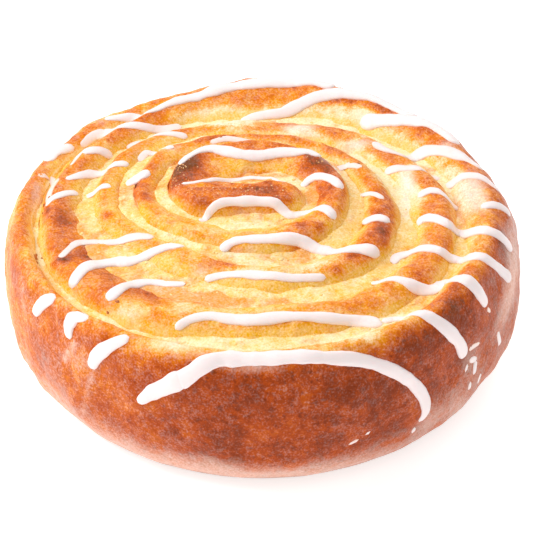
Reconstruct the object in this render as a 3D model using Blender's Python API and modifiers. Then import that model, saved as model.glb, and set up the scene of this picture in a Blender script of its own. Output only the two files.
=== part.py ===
import math

import bmesh
import bpy
import numpy as np

mm = 0.001
tiny = 0.01 * mm

# The bun as a whole. Its base lies on z = 0, centred on the origin.
bunRadius = 60 * mm
bulgeHeight = 16.6 * mm
baseRadius = 51.2 * mm
# How far the wall stands out from that radius at each eighth of a turn, clockwise from -X.
wallSwells = (0, 1.2, 0.4, 0.6, 0.6, -0.4, 1, -0.6)
looseGap = 0.3 * mm

# The coil is one strip of dough wound clockwise and outwards, seen from above. Turns count from -X.
coilCentre = (-0.5 * mm, 0.0)
coilEnd = 4.24
tailLength = 0.17

# Radius of the strip's crest at each eighth of a turn, in millimetres. The first turn, which counts from
# -1 to 0, is the tongue folded over at the centre.
tongueRadii = (8, 1, 0, 3.6, 7.4, 4.9, 2.3, 6)
crestRadii = (
    *tongueRadii,
    *(18, 21, 19.5, 19.8, 18.2, 17.7, 18.7, 21),
    *(27.2, 29.8, 27.2, 27.2, 27.7, 30.8, 27.8, 26),
    *(35.1, 37.9, 32.8, 36.5, 41.3, 43.7, 42.6, 48.6),
    *(47.7, 46.9, 53, 51.7, 51.6, 54.4, 54.6, 55.2),
    *(54.5, 55.2, 55.4),
)
# At a few turns of the coil: height of the crest, depth of the valley inside it, how far out between its two
# crests the valley lies, and how far the custard in it lies below them.
crestHeights = (
    *((-1, 39.6), (0, 40.2), (0.25, 40.4), (0.5, 39.6), (0.75, 38.6), (1, 37.7), (1.25, 38), (1.6, 37.4)),
    *((1.9, 36.4), (2.25, 36.5), (3, 36), (3.25, 37.4), (3.75, 36), (4, 34.8), (4.24, 34.8)),
)
valleyDepths = (
    *((0.02, 0), (0.12, 3.8), (0.25, 4.6), (0.5, 4.8), (1, 5), (1.25, 3.6), (1.5, 4.8), (1.75, 4.6)),
    *((2, 3.6), (2.25, 3), (2.5, 5.4), (2.75, 5), (3, 4.6), (3.25, 4.6), (3.5, 5), (3.75, 5.2)),
    *((4, 3.6), (4.24, 3)),
)
valleyPlaces = (
    *((0.02, 0.5), (0.12, 0.42), (1, 0.38), (1.75, 0.42), (2, 0.36), (2.5, 0.38), (2.75, 0.48), (3, 0.36)),
    *((3.25, 0.36), (3.5, 0.42), (3.7, 0.6), (3.85, 0.64), (4, 0.52), (4.24, 0.5)),
)
custardDrops = (
    *((0.05, 2.6), (0.5, 2.6), (0.75, 2), (1, 2.2), (1.25, 2.4), (1.5, 2.4), (1.75, 1.4), (2, 1)),
    *((2.25, 2), (2.5, 2.8), (2.75, 1.6), (3, 1.7), (3.25, 3.4), (3.5, 3), (3.75, 2), (3.9, 2.5), (4, 2.7)),
)

# The custard is a band let into the valleys. Its lower edge stays clear of the base.
custardStart = 0.07
custardEnd = 4.04
startFade = 0.06
endFade = 0.12
fadeBeyond = 0.02
fullestCustard = 0.8
custardFloor = 8 * mm
custardStem = 1.2 * mm
custardShoulder = 6 * mm
custardLip = 0.8 * mm
custardDip = 0.4 * mm
grooveTop = 6 * mm
custardStep = 6 * mm

# The drizzle: each stripe's half width at its start and its end, then points in plan. Past the crest a
# point's radius is measured over the shoulder and down the wall.
drizzleProfile = ((-0.9, -0.4), (0.9, -0.4), (0.65, 0.5), (-0.65, 0.5))
endWidths = (0.45, 0.85, 1)
slopeReach = 1.2 * mm
drizzleStep = 3.8 * mm
drizzleStripes = (
    (1.1, 2, (-38.5, 37.5), (-33, 39), (-28, 40), (-20.5, 44.5), (-10.5, 48.5), (0.5, 52), (9, 53), (19, 50)),
    (1.3, 2, (-5.5, 37), (0, 39), (4.5, 44), (13.5, 47), (23.5, 46.5), (28, 46), (33, 43.5), (37.5, 38)),
    (1.2, 1.4, (-47.5, 22), (-44.5, 27), (-41, 31), (-37, 32), (-32, 33), (-25, 32), (-18, 31.5)),
    (2, 1.6, (24, 37), (27.5, 37), (32.5, 35.5), (38, 34.5), (42, 31.5), (45.5, 28), (47.5, 23)),
    (1.6, 1.2, (-51.5, 19.5), (-49, 24.5), (-45.5, 26), (-42, 22.5), (-38, 21), (-34, 20)),
    (1.1, 1.3, (-32.5, 23.5), (-28.5, 26.5), (-23.5, 28), (-18, 25.5)),
    (1, 1.2, (-14.5, 23.5), (-9, 24.5), (-3.5, 20), (2, 18.5), (7.5, 19), (12.5, 22.5), (17.5, 25), (32, 20)),
    (1.6, 1.8, (34, 19), (37.5, 24), (43.5, 21.5), (47.5, 19.5), (50.5, 17), (53.5, 14)),
    (1.1, 1.3, (-46.5, 8.5), (-41.5, 13.5), (-39, 14), (-36, 14.5), (-31, 16.5)),
    (1.4, 1.5, (-31, 8), (-28.5, 9.5), (-25.5, 9)),
    (1.4, 1.2, (-28.5, 20.5), (-26, 22.5), (-21.5, 20.5)),
    (1.2, 1.5, (-20.5, 10.5), (-20.5, 16), (-18, 18.5), (-14.5, 17.5), (-7.5, 14.5), (2, 14.5), (12, 15)),
    (1.3, 1.1, (28.5, 14.5), (33.5, 14.5), (37, 14), (41.5, 9.5)),
    (1.3, 1.5, (43.5, 11.5), (47, 10.5), (51, 9), (57, 6)),
    (1, 1.2, (-50.5, 1), (-47.5, 3), (-43, 6)),
    (1.1, 1.4, (9.5, 1.5), (11, 5), (14, 5.5), (17, 3.5), (19, 0)),
    (1.1, 1.2, (36, 2.5), (38.5, 4.5), (42, 3.5), (45.5, 1.5)),
    (1.1, 1.2, (49.5, -1.5), (52.5, 0), (56, -0.5), (59, -2)),
    (1, 1.1, (-19, 1.5), (-12.5, 3.5), (-8, 6.5), (-4, 8), (1, 7.5), (5, 4)),
    (1.1, 1.4, (-14.5, -8), (-10.5, -6.5), (-5, -5.5), (0, -5), (6, -6), (9, -5), (12.5, -4.5), (17, -10.5)),
    (1.4, 1.4, (22.5, -8), (25.5, -8), (29.5, -9.5)),
    (1.3, 1.5, (35, -6.5), (36.5, -5.5), (39, -7), (42, -9), (46.5, -9.5), (50, -12), (54, -13), (60, -14.5)),
    (1, 1.1, (-44.5, -21.5), (-42, -17.5), (-39, -13), (-35, -13), (-30, -14), (-24, -14)),
    (1.4, 1.4, (-9, -19.5), (-4.5, -18.5), (0, -18), (6, -18), (12.5, -18.5), (19.5, -19.5), (26, -20.5)),
    (1.3, 1.6, (30, -21), (33, -17), (36, -18.5), (42, -19.5), (46, -22), (52, -22.5), (59, -25)),
    (1.6, 1.2, (-41, -31), (-38.5, -27), (-35.5, -21.5), (-28.5, -20.5), (-23.5, -19.5), (-17, -18)),
    (1.4, 1.2, (-32.5, -37.5), (-30.5, -33.5), (-27, -28), (-23.5, -27), (-17.5, -29), (-13.5, -30.5)),
    (1.1, 1.1, (-12, -29), (-7, -29), (0, -29.5), (6, -30), (11.5, -29.5), (15, -30)),
    (1.3, 1.6, (24.5, -27.5), (28, -30), (31.5, -31.5), (35.5, -30.5), (39, -28.5), (45, -32), (51.5, -34)),
    (1.4, 1.3, (-55.5, -34.5), (-50, -34), (-44, -35)),
    (1.6, 1.2, (-44, -45), (-43.5, -42.5), (-39.5, -41.5), (-36, -43)),
    (1.8, 1.3, (-41, -53.5), (-38, -51.5), (-32.5, -50), (-26.5, -49)),
    (1.4, 1.6, (-18, -45), (-10.5, -43), (-4, -44), (7.5, -43), (14.5, -43), (22, -41.5), (28.5, -40.5)),
    (1.1, 1.5, (28.5, -40.5), (32, -42), (36.5, -44), (42, -45), (47, -46), (51.5, -48)),
    (1.2, 2.3, (-30.5, -64), (-26.5, -62.5), (-21.5, -61), (-18, -60.5)),
    (2.2, 1.6, (-19.5, -61), (-15.5, -59), (-12, -57), (-8, -56), (1.5, -56), (11, -56), (20.5, -55.5)),
    (1.6, 1.3, (20.5, -55.5), (26.5, -56), (33, -58), (39.5, -60.5), (43.5, -63), (45, -67)),
)

# The turned blank that the coil is worked into, and how finely the solids are cut.
blankCrest = 53 * mm
blankHeight = 36 * mm
turnedSteps = 112
topRings = 30
wallRings = 10
doughKept = 0.36
wallSamples = 60
coilSamples = 400


def smoothStep(low, high, value):
    part = np.clip((value - low) / (high - low), 0, 1)
    return part * part * (3 - 2 * part)


def hermite(places, values, at):
    """A smooth curve through the values at the given places."""
    places = np.asarray(places, float)
    values = np.asarray(values, float)
    slopes = np.gradient(values, places)
    left = np.clip(np.searchsorted(places, at, side="right") - 1, 0, len(places) - 2)
    gap = places[left + 1] - places[left]
    part = np.clip((at - places[left]) / gap, 0, 1)
    near = 2 * part**3 - 3 * part**2 + 1
    leave = part**3 - 2 * part**2 + part
    arrive = part**3 - part**2
    sloped = (leave * slopes[left] + arrive * slopes[left + 1]) * gap
    return near * values[left] + (1 - near) * values[left + 1] + sloped


def crestRadius(turn):
    return hermite(np.arange(len(crestRadii)) / 8 - 1, crestRadii, turn) * mm


def atTurn(stations, turn):
    """A size in millimetres given at a few turns of the coil, read between them in metres."""
    turns, sizes = zip(*stations)
    return np.interp(turn, turns, sizes) * mm


def turnAngle(turn):
    return math.pi - 2 * math.pi * turn


def shoulder(share):
    """The outermost crest at this share of a turn: radius, height and how far the tail still reaches it."""
    tail = 1 - smoothStep(coilEnd - 4 - tailLength, coilEnd - 4, share)
    radius = crestRadius(share + 3)
    height = atTurn(crestHeights, share + 3)
    lastTurn = np.minimum(share + 4, coilEnd)
    radius = radius + tail * (crestRadius(lastTurn) - radius)
    height = height + tail * (atTurn(crestHeights, lastTurn) - height)
    return radius, height, tail


def valleyPlace(turn):
    turns, places = zip(*valleyPlaces)
    return np.interp(turn, turns, places)


def topHeight(x, y):
    """Height of the dough inside the outermost crest: round crests with a sharp valley between them."""
    dx = np.asarray(x, float) - coilCentre[0]
    dy = np.asarray(y, float) - coilCentre[1]
    radius = np.hypot(dx, dy)
    share = (math.pi - np.arctan2(dy, dx)) / (2 * math.pi) % 1.0
    lastRadius, lastHeight, tail = shoulder(share)
    height = atTurn(crestHeights, share - 1)
    inner = crestRadius(share - 1)
    for turn in range(5):
        if turn < 4:
            outer = crestRadius(share + turn)
            outerHeight = atTurn(crestHeights, share + turn)
            depth = atTurn(valleyDepths, share + turn)
            place = valleyPlace(share + turn)
        else:
            outer = lastRadius
            outerHeight = lastHeight
            depth = atTurn(valleyDepths, np.minimum(share + 4, coilEnd)) * tail
            place = valleyPlace(np.minimum(share + 4, coilEnd))
        innerHeight = atTurn(crestHeights, share + turn - 1)
        part = np.clip((radius - inner) / np.maximum(outer - inner, tiny), 0, 1)
        valley = np.minimum(part / place, (1 - part) / (1 - place))
        between = innerHeight + part * (outerHeight - innerHeight) - depth * valley**2
        height = np.where(radius > inner, between, height)
        inner = outer
    return height


def wallRadius(share):
    around = len(wallSwells)
    swells = [wallSwells[i % around] for i in range(-1, around + 2)]
    return bunRadius + hermite(np.arange(-1, around + 2) / around, swells, share) * mm


def wallPoint(share, swing):
    """A point of the shoulder and wall. Its swing is 0 at the crest, 1 at the bulge and 2 at the base."""
    crest, height, _ = shoulder(share)
    bend = swing * math.pi / 2
    below = swing > 1
    start = np.where(below, baseRadius, crest)
    rise = np.where(below, bulgeHeight, height - bulgeHeight)
    return start + (wallRadius(share) - start) * np.sin(bend), bulgeHeight + rise * np.cos(bend)


def surfacePoint(x, y):
    """The point of the dough reached from the centre by going over the top, then down the wall."""
    dx = x - coilCentre[0]
    dy = y - coilCentre[1]
    reach = math.hypot(dx, dy)
    share = (math.pi - math.atan2(dy, dx)) / (2 * math.pi) % 1.0
    crest = float(shoulder(share)[0])
    if reach <= crest:
        return np.array((x, y, float(topHeight(x, y))))
    swings = np.linspace(0, 2, wallSamples)
    radii, heights = wallPoint(share, swings)
    lengths = np.concatenate(([0], np.cumsum(np.hypot(np.diff(radii), np.diff(heights)))))
    radius = np.interp(reach - crest, lengths, radii)
    height = np.interp(reach - crest, lengths, heights)
    scale = radius / reach
    return np.array((coilCentre[0] + dx * scale, coilCentre[1] + dy * scale, height))


def coilPoint(turn, radius):
    angle = turnAngle(turn)
    return coilCentre[0] + radius * math.cos(angle), coilCentre[1] + radius * math.sin(angle)


def valleyMiddle(turn):
    return (crestRadius(turn - 1) + crestRadius(turn)) / 2


def custardRows(reach):
    """Rows along the valley: turn, radius of its middle, half width, and the dough's height at both edges."""
    fine = np.linspace(custardStart, custardEnd, coilSamples)
    lengths = np.concatenate(([0], np.cumsum(2 * math.pi * valleyMiddle(fine[1:]) * np.diff(fine))))
    turns = np.interp(np.linspace(0, lengths[-1], round(lengths[-1] / custardStep)), lengths, fine)
    turns[0] -= reach / (2 * math.pi * valleyMiddle(turns[0]))
    turns[-1] += reach / (2 * math.pi * valleyMiddle(turns[-1]))
    rows = []
    for turn in turns:
        depth = float(atTurn(valleyDepths, turn))
        drop = float(atTurn(custardDrops, turn))
        tapered = float(smoothStep(custardStart - fadeBeyond, custardStart + startFade, turn))
        tapered *= float(1 - smoothStep(custardEnd - endFade, custardEnd + fadeBeyond, turn))
        opening = tapered * (1 - math.sqrt(min(drop / depth, fullestCustard)))
        spacing = float(crestRadius(turn) - crestRadius(turn - 1))
        middle = float(valleyMiddle(turn)) + (float(valleyPlace(turn)) - 0.5) * (1 - opening) * spacing
        width = max(spacing / 2 * opening, custardStem + 2 * looseGap)
        heights = [float(topHeight(*coilPoint(turn, middle + side * width))) for side in (-1, 1)]
        rows.append((turn, middle, width, *heights))
    return rows


def bandSections(rows, gap, rise):
    """Cross-sections of the custard: a wide head that narrows to a stem, with a gap to the dough."""
    sections = []
    for turn, middle, width, innerEdge, outerEdge in rows:
        head = width - gap
        stem = custardStem - gap
        neck = min(innerEdge, outerEdge) - custardShoulder + gap
        floor = custardFloor + gap
        profile = (
            (-head, innerEdge + rise),
            (0, (innerEdge + outerEdge) / 2 + rise),
            (head, outerEdge + rise),
            (head, outerEdge - custardLip),
            (stem, neck),
            (stem, floor),
            (-stem, floor),
            (-stem, neck),
            (-head, innerEdge - custardLip),
        )
        sections.append([(*coilPoint(turn, middle + across), z) for across, z in profile])
    return sections


def loft(name, sections):
    """A closed body through rings of equal length, with flat ends."""
    build = bmesh.new()
    rings = [[build.verts.new(point) for point in section] for section in sections]
    for ring, following in zip(rings, rings[1:]):
        for i, vertex in enumerate(ring):
            j = (i + 1) % len(ring)
            build.faces.new((vertex, ring[j], following[j], following[i]))
    build.faces.new(rings[0])
    build.faces.new(list(reversed(rings[-1])))
    bmesh.ops.recalc_face_normals(build, faces=build.faces)
    mesh = bpy.data.meshes.new(name)
    build.to_mesh(mesh)
    build.free()
    return bpy.data.objects.new(name, mesh)


def applied(piece):
    """Turns the piece into the plain mesh that its modifiers give."""
    graph = bpy.context.evaluated_depsgraph_get()
    mesh = bpy.data.meshes.new_from_object(piece.evaluated_get(graph))
    solid = bpy.data.objects.new(piece.name, mesh)
    solid.matrix_world = piece.matrix_world
    for collection in piece.users_collection:
        collection.objects.link(solid)
    name = piece.name
    bpy.data.objects.remove(piece)
    solid.name = name
    return solid


def addMaterial(piece, colour, roughness):
    material = bpy.data.materials.new(piece.name)
    material.use_nodes = True
    shader = material.node_tree.nodes["Principled BSDF"]
    shader.inputs["Base Color"].default_value = (*colour, 1)
    shader.inputs["Roughness"].default_value = roughness
    shader.inputs["Metallic"].default_value = 0
    piece.data.materials.clear()
    piece.data.materials.append(material)


def makeDough(collection):
    """A turned blank whose top and wall are then worked into the coil."""
    profile = [(radius, blankHeight) for radius in np.linspace(0, blankCrest, topRings + 1)]
    for swing in np.linspace(0, 2, wallRings + 1)[1:]:
        bend = swing * math.pi / 2
        start = blankCrest if swing <= 1 else baseRadius
        rise = blankHeight - bulgeHeight if swing <= 1 else bulgeHeight
        profile.append((start + (bunRadius - start) * math.sin(bend), bulgeHeight + rise * math.cos(bend)))
    profile.append((0, 0))
    mesh = bpy.data.meshes.new("bun")
    mesh.from_pydata([(r, 0, z) for r, z in profile], [(i, i + 1) for i in range(len(profile) - 1)], [])
    dough = bpy.data.objects.new("bun", mesh)
    collection.objects.link(dough)
    screw = dough.modifiers.new("turn", "SCREW")
    screw.steps = turnedSteps
    screw.render_steps = turnedSteps
    screw.use_merge_vertices = True
    screw.merge_threshold = tiny
    dough = applied(dough)

    points = np.empty(len(dough.data.vertices) * 3, np.float32)
    dough.data.vertices.foreach_get("co", points)
    points = points.reshape(-1, 3).astype(float)
    radius = np.hypot(points[:, 0], points[:, 1])
    share = (math.pi - np.arctan2(points[:, 1], points[:, 0])) / (2 * math.pi) % 1.0
    angle = turnAngle(share)
    onTop = points[:, 2] > blankHeight - tiny
    onBase = (points[:, 2] < tiny) & (radius < baseRadius / 2)
    reach = np.where(points[:, 2] > bulgeHeight, blankHeight - bulgeHeight, bulgeHeight)
    slant = np.clip((points[:, 2] - bulgeHeight) / reach, -1, 1)
    swing = np.arccos(slant) / (math.pi / 2)
    sideRadius, sideHeight = wallPoint(share, swing)
    topRadius = radius / blankCrest * shoulder(share)[0]
    newRadius = np.where(onTop, topRadius, np.where(onBase, radius, sideRadius))
    points[:, 0] = newRadius * np.cos(angle) + coilCentre[0] * onTop
    points[:, 1] = newRadius * np.sin(angle) + coilCentre[1] * onTop
    carved = topHeight(points[:, 0], points[:, 1])
    points[:, 2] = np.where(onTop, carved, np.where(onBase, 0, sideHeight))
    dough.data.vertices.foreach_set("co", points.astype(np.float32).ravel())
    dough.data.update()
    fewer = dough.modifiers.new("fewer faces", "DECIMATE")
    fewer.ratio = doughKept
    return applied(dough)


def subtract(piece, cutter):
    cut = piece.modifiers.new(cutter.name, "BOOLEAN")
    cut.operation = "DIFFERENCE"
    cut.solver = "EXACT"
    cut.object = cutter
    return applied(piece)


def stripeRoute(points):
    """Points along the stripe on the dough, with the way across it and the way out of the dough."""
    points = np.array(points, float) * mm
    lengths = np.concatenate(([0], np.cumsum(np.hypot(*np.diff(points, axis=0).T))))
    places = np.linspace(0, lengths[-1], max(4, round(lengths[-1] / drizzleStep) + 1))
    plan = np.stack([hermite(lengths, points[:, axis], places) for axis in (0, 1)], axis=1)
    along = np.gradient(plan, axis=0)
    route = []
    for (x, y), (dx, dy) in zip(plan, along):
        ahead = slopeReach * np.array((dx, dy)) / math.hypot(dx, dy)
        left = np.array((-ahead[1], ahead[0]))
        forward = surfacePoint(x + ahead[0], y + ahead[1]) - surfacePoint(x - ahead[0], y - ahead[1])
        across = surfacePoint(x + left[0], y + left[1]) - surfacePoint(x - left[0], y - left[1])
        outward = np.cross(forward, across)
        outward /= np.linalg.norm(outward)
        across = np.cross(outward, forward)
        route.append((surfacePoint(x, y), across / np.linalg.norm(across), outward))
    return route


def custardBelow(point, reach, rows):
    """The highest custard within reach of a point of a stripe, or -1 where there is only dough."""
    dx, dy = point[:2] - np.array(coilCentre)
    if math.hypot(dx, dy) > shoulder((math.pi - math.atan2(dy, dx)) / (2 * math.pi) % 1.0)[0]:
        return -1
    tops = [
        max(innerEdge, outerEdge) - custardDip
        for turn, middle, width, innerEdge, outerEdge in rows
        if math.hypot(*(point[:2] - np.array(coilPoint(turn, middle)))) < width + reach
    ]
    return max(tops, default=-1)


def makeStripe(name, halfWidths, points, rows):
    """A rope pressed on the dough. It leads level over the custard, clear of it."""
    route = stripeRoute(points)
    sections = []
    for i, (point, across, outward) in enumerate(route):
        fromEnd = min(i, len(route) - 1 - i)
        first, last = halfWidths
        half = first + (last - first) * i / (len(route) - 1)
        half *= mm * endWidths[min(fromEnd, len(endWidths) - 1)]
        lowest = custardBelow(point, half + drizzleStep, rows) + looseGap - half * drizzleProfile[0][1]
        if point[2] < lowest:
            point[2] = lowest
            across = np.array((across[0], across[1], 0)) / math.hypot(across[0], across[1])
            outward = np.array((0, 0, 1))
        sections.append([point + half * (a * across + b * outward) for a, b in drizzleProfile])
    return loft(name, sections)


def addCutter(cutter, collection):
    collection.objects.link(cutter)
    cutter.hide_render = True
    cutter.display_type = "WIRE"


def fuse(piece, helpers):
    """Joins every object of the collection to the piece, then removes them."""
    join = piece.modifiers.new("drizzle", "BOOLEAN")
    join.operation = "UNION"
    join.solver = "MANIFOLD"
    join.operand_type = "COLLECTION"
    join.collection = helpers
    piece = applied(piece)
    for helper in list(helpers.objects):
        bpy.data.objects.remove(helper)
    return piece


def dropScraps(piece):
    """Cuts the faces into triangles and keeps the largest run of them that edges join two by two."""
    build = bmesh.new()
    build.from_mesh(piece.data)
    bmesh.ops.triangulate(build, faces=build.faces)
    waiting = set(build.faces)
    groups = []
    while waiting:
        front = [waiting.pop()]
        group = []
        while front:
            face = front.pop()
            group.append(face)
            for edge in face.edges:
                if len(edge.link_faces) != 2:
                    continue
                for neighbour in edge.link_faces:
                    if neighbour in waiting:
                        waiting.remove(neighbour)
                        front.append(neighbour)
        groups.append(group)
    groups.sort(key=len)
    scraps = [face for group in groups[:-1] for face in group]
    bmesh.ops.delete(build, geom=scraps, context="FACES")
    build.to_mesh(piece.data)
    build.free()


def newCollection(name):
    collection = bpy.data.collections.new(name)
    bpy.context.scene.collection.children.link(collection)
    return collection


def main():
    for piece in list(bpy.data.objects):
        bpy.data.objects.remove(piece)
    parts = newCollection("custardBun")
    cutters = newCollection("cutters")
    stripes = newCollection("stripes")

    dough = makeDough(parts)
    groove = loft("groove", bandSections(custardRows(looseGap), 0, grooveTop))
    addCutter(groove, cutters)
    dough = subtract(dough, groove)

    rows = custardRows(0)
    custard = loft("custard", bandSections(rows, looseGap, -custardDip))
    parts.objects.link(custard)
    addMaterial(custard, (0.92, 0.55, 0.06), 0.35)

    for number, (first, last, *points) in enumerate(drizzleStripes):
        stripes.objects.link(makeStripe(f"stripe{number + 1}", (first, last), points, rows))
    dough = fuse(dough, stripes)
    dropScraps(dough)
    dough.data.shade_smooth()
    dough.data.set_sharp_from_angle(angle=math.radians(35))
    addMaterial(dough, (0.78, 0.32, 0.07), 0.5)


main()
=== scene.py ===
import math

import bpy
import numpy as np
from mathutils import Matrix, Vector, noise


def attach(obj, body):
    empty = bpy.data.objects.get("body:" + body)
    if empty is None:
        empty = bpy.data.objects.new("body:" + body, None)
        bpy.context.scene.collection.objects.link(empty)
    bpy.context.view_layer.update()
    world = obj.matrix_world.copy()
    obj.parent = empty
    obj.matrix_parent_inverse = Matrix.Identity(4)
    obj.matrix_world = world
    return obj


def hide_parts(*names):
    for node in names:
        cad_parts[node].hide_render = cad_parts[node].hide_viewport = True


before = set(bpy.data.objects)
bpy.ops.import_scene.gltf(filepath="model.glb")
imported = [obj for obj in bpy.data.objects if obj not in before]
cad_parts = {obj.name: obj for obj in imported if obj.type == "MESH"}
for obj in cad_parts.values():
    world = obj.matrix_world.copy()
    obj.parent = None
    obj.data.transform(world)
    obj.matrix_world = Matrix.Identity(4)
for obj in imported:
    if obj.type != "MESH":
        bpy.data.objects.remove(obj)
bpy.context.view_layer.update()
mm = 0.001


# Shared helpers: colours, node trees and plain meshes.


def hexColour(code):
    parts = [int(code[i : i + 2], 16) / 255 for i in (1, 3, 5)]
    return (*(p / 12.92 if p <= 0.04045 else ((p + 0.055) / 1.055) ** 2.4 for p in parts), 1)


def smoothStep(low, high, value):
    part = np.clip((value - low) / (high - low), 0, 1)
    return part * part * (3 - 2 * part)


def pickSocket(sockets, name):
    if isinstance(name, int):
        return sockets[name]
    return next(socket for socket in sockets if socket.enabled and socket.name == name)


def plugIn(tree, socket, value):
    if isinstance(value, bpy.types.NodeSocket):
        tree.links.new(value, socket)
    else:
        socket.default_value = value


def addNode(tree, kind, inputs=None, **settings):
    node = tree.nodes.new(kind)
    for name, value in settings.items():
        setattr(node, name, value)
    for name, value in (inputs or {}).items():
        plugIn(tree, pickSocket(node.inputs, name), value)
    return node


def calc(tree, operation, *values):
    return addNode(tree, "ShaderNodeMath", dict(enumerate(values)), operation=operation).outputs[0]


def vectorCalc(tree, operation, *values):
    node = addNode(tree, "ShaderNodeVectorMath", dict(enumerate(values)), operation=operation)
    return next(socket for socket in node.outputs if socket.enabled)


def scaled(tree, vector, factor):
    node = addNode(tree, "ShaderNodeVectorMath", {"Vector": vector, "Scale": factor}, operation="SCALE")
    return node.outputs["Vector"]


def mapped(tree, value, low, high, newLow=0.0, newHigh=1.0):
    places = {"Value": value, "From Min": low, "From Max": high, "To Min": newLow, "To Max": newHigh}
    return addNode(tree, "ShaderNodeMapRange", places, interpolation_type="SMOOTHSTEP").outputs["Result"]


def grain(tree, place, size, detail=2.0, roughness=0.5):
    # Noise whose lumps are about this size, in metres.
    inputs = {"Vector": place, "Scale": 1 / size, "Detail": detail, "Roughness": roughness}
    return addNode(tree, "ShaderNodeTexNoise", inputs).outputs[0]


def newTree(name, inputs):
    tree = bpy.data.node_groups.new(name, "GeometryNodeTree")
    face = tree.interface
    face.new_socket("Geometry", in_out="INPUT", socket_type="NodeSocketGeometry")
    for label, (kind, value) in inputs.items():
        socket = face.new_socket(label, in_out="INPUT", socket_type="NodeSocket" + kind)
        if value is not None:
            socket.default_value = value
    face.new_socket("Geometry", in_out="OUTPUT", socket_type="NodeSocketGeometry")
    return tree, tree.nodes.new("NodeGroupInput").outputs


def endTree(tree, geometry, material):
    smooth = addNode(tree, "GeometryNodeSetShadeSmooth", {"Geometry": geometry})
    whole = addNode(tree, "GeometryNodeRealizeInstances", {"Geometry": smooth.outputs[0]})
    painted = addNode(tree, "GeometryNodeSetMaterial", {"Geometry": whole.outputs[0], "Material": material})
    addNode(tree, "NodeGroupOutput", {"Geometry": painted.outputs[0]})


def grow(piece, tree, values):
    # Runs the tree on the piece and keeps the result as its plain mesh.
    modifier = piece.modifiers.new(tree.name, "NODES")
    modifier.node_group = tree
    for item in tree.interface.items_tree:
        if item.in_out == "INPUT" and item.name in values:
            modifier[item.identifier] = values[item.name]
    graph = bpy.context.evaluated_depsgraph_get()
    final = piece.evaluated_get(graph)
    mesh = bpy.data.meshes.new_from_object(final, preserve_all_data_layers=True, depsgraph=graph)
    piece.modifiers.remove(modifier)
    piece.data = mesh
    return piece


def named(tree, name, kind="FLOAT"):
    node = addNode(tree, "GeometryNodeInputNamedAttribute", {"Name": name}, data_type=kind)
    return node.outputs["Attribute"]


def kept(tree, geometry, name, value, kind="FLOAT"):
    inputs = {"Geometry": geometry, "Name": name}
    node = addNode(tree, "GeometryNodeStoreNamedAttribute", inputs, data_type=kind)
    plugIn(tree, pickSocket(node.inputs, "Value"), value)
    return node.outputs[0]


def newPiece(name, points, faces, edges=(), attributes=None):
    mesh = bpy.data.meshes.new(name)
    mesh.from_pydata(np.asarray(points).tolist(), list(edges), faces)
    for label, values in (attributes or {}).items():
        values = np.asarray(values, np.float32)
        kind, field = ("FLOAT", "value") if values.ndim == 1 else ("FLOAT_VECTOR", "vector")
        mesh.attributes.new(label, kind, "POINT").data.foreach_set(field, values.ravel())
    piece = bpy.data.objects.new(name, mesh)
    bpy.context.scene.collection.objects.link(piece)
    return piece


def newMaterial(name):
    material = bpy.data.materials.new(name)
    material.use_nodes = True
    tree = material.node_tree
    return material, tree, tree.nodes["Principled BSDF"]


# The coil: one strip of dough wound clockwise and outwards. Turns count from the -X side, lengths are
# in mm.
coilForm = {
    "centre": (-0.5, 0.0),
    "end": 4.24,
    "tail": 0.17,
    "bunRadius": 60,
    "bulgeHeight": 16.6,
    "baseRadius": 51.2,
    "wallSwells": (0, 1.2, 0.4, 0.6, 0.6, -0.4, 1, -0.6),
    # Crest radius at each eighth of a turn. The first row, below zero, is the tongue folded over at the
    # centre.
    "crestRadii": (
        8, 1, 0, 3.6, 7.4, 4.9, 2.3, 6,
        18, 21, 19.5, 19.8, 18.2, 17.7, 18.7, 21,
        27.2, 29.8, 27.2, 27.2, 27.7, 30.8, 27.8, 26,
        35.1, 37.9, 32.8, 36.5, 41.3, 43.7, 42.6, 48.6,
        47.7, 46.9, 53, 51.7, 51.6, 54.4, 54.6, 55.2,
        54.5, 55.2, 55.4,
    ),
    "crestHeights": (
        (-1, 39.6), (0, 40.2), (0.25, 40.4), (0.5, 39.6), (0.75, 38.6), (1, 37.7), (1.25, 38), (1.6, 37.4),
        (1.9, 36.4), (2.25, 36.5), (3, 36), (3.25, 37.4), (3.75, 36), (4, 34.8), (4.24, 34.8),
    ),
    # The valley inside each crest: its depth, how far out between its two crests it lies, and how far
    # below them the custard in it lies.
    "valleyDepths": (
        (0.02, 0), (0.12, 3.8), (0.25, 4.6), (0.5, 4.8), (1, 5), (1.25, 3.6), (1.5, 4.8), (1.75, 4.6),
        (2, 3.6), (2.25, 3), (2.5, 5.4), (2.75, 5), (3, 4.6), (3.25, 4.6), (3.5, 5), (3.75, 5.2), (4, 3.6),
        (4.24, 3),
    ),
    "valleyPlaces": (
        (0.02, 0.5), (0.12, 0.42), (1, 0.38), (1.75, 0.42), (2, 0.36), (2.5, 0.38), (2.75, 0.48), (3, 0.36),
        (3.25, 0.36), (3.5, 0.42), (3.7, 0.6), (3.85, 0.64), (4, 0.52), (4.24, 0.5),
    ),
    "custardDrops": (
        (0.05, 2.6), (0.5, 2.6), (0.75, 2), (1, 2.2), (1.25, 2.4), (1.5, 2.4), (1.75, 1.4), (2, 1),
        (2.25, 2), (2.5, 2.8), (2.75, 1.6), (3, 1.7), (3.25, 3.4), (3.5, 3), (3.75, 2), (3.9, 2.5),
        (4, 2.7),
    ),
}
centreX, centreY = (value * mm for value in coilForm["centre"])
bulgeHeight = coilForm["bulgeHeight"] * mm
wholeTurns = math.floor(coilForm["end"])
stepsPerTurn = 8


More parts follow.
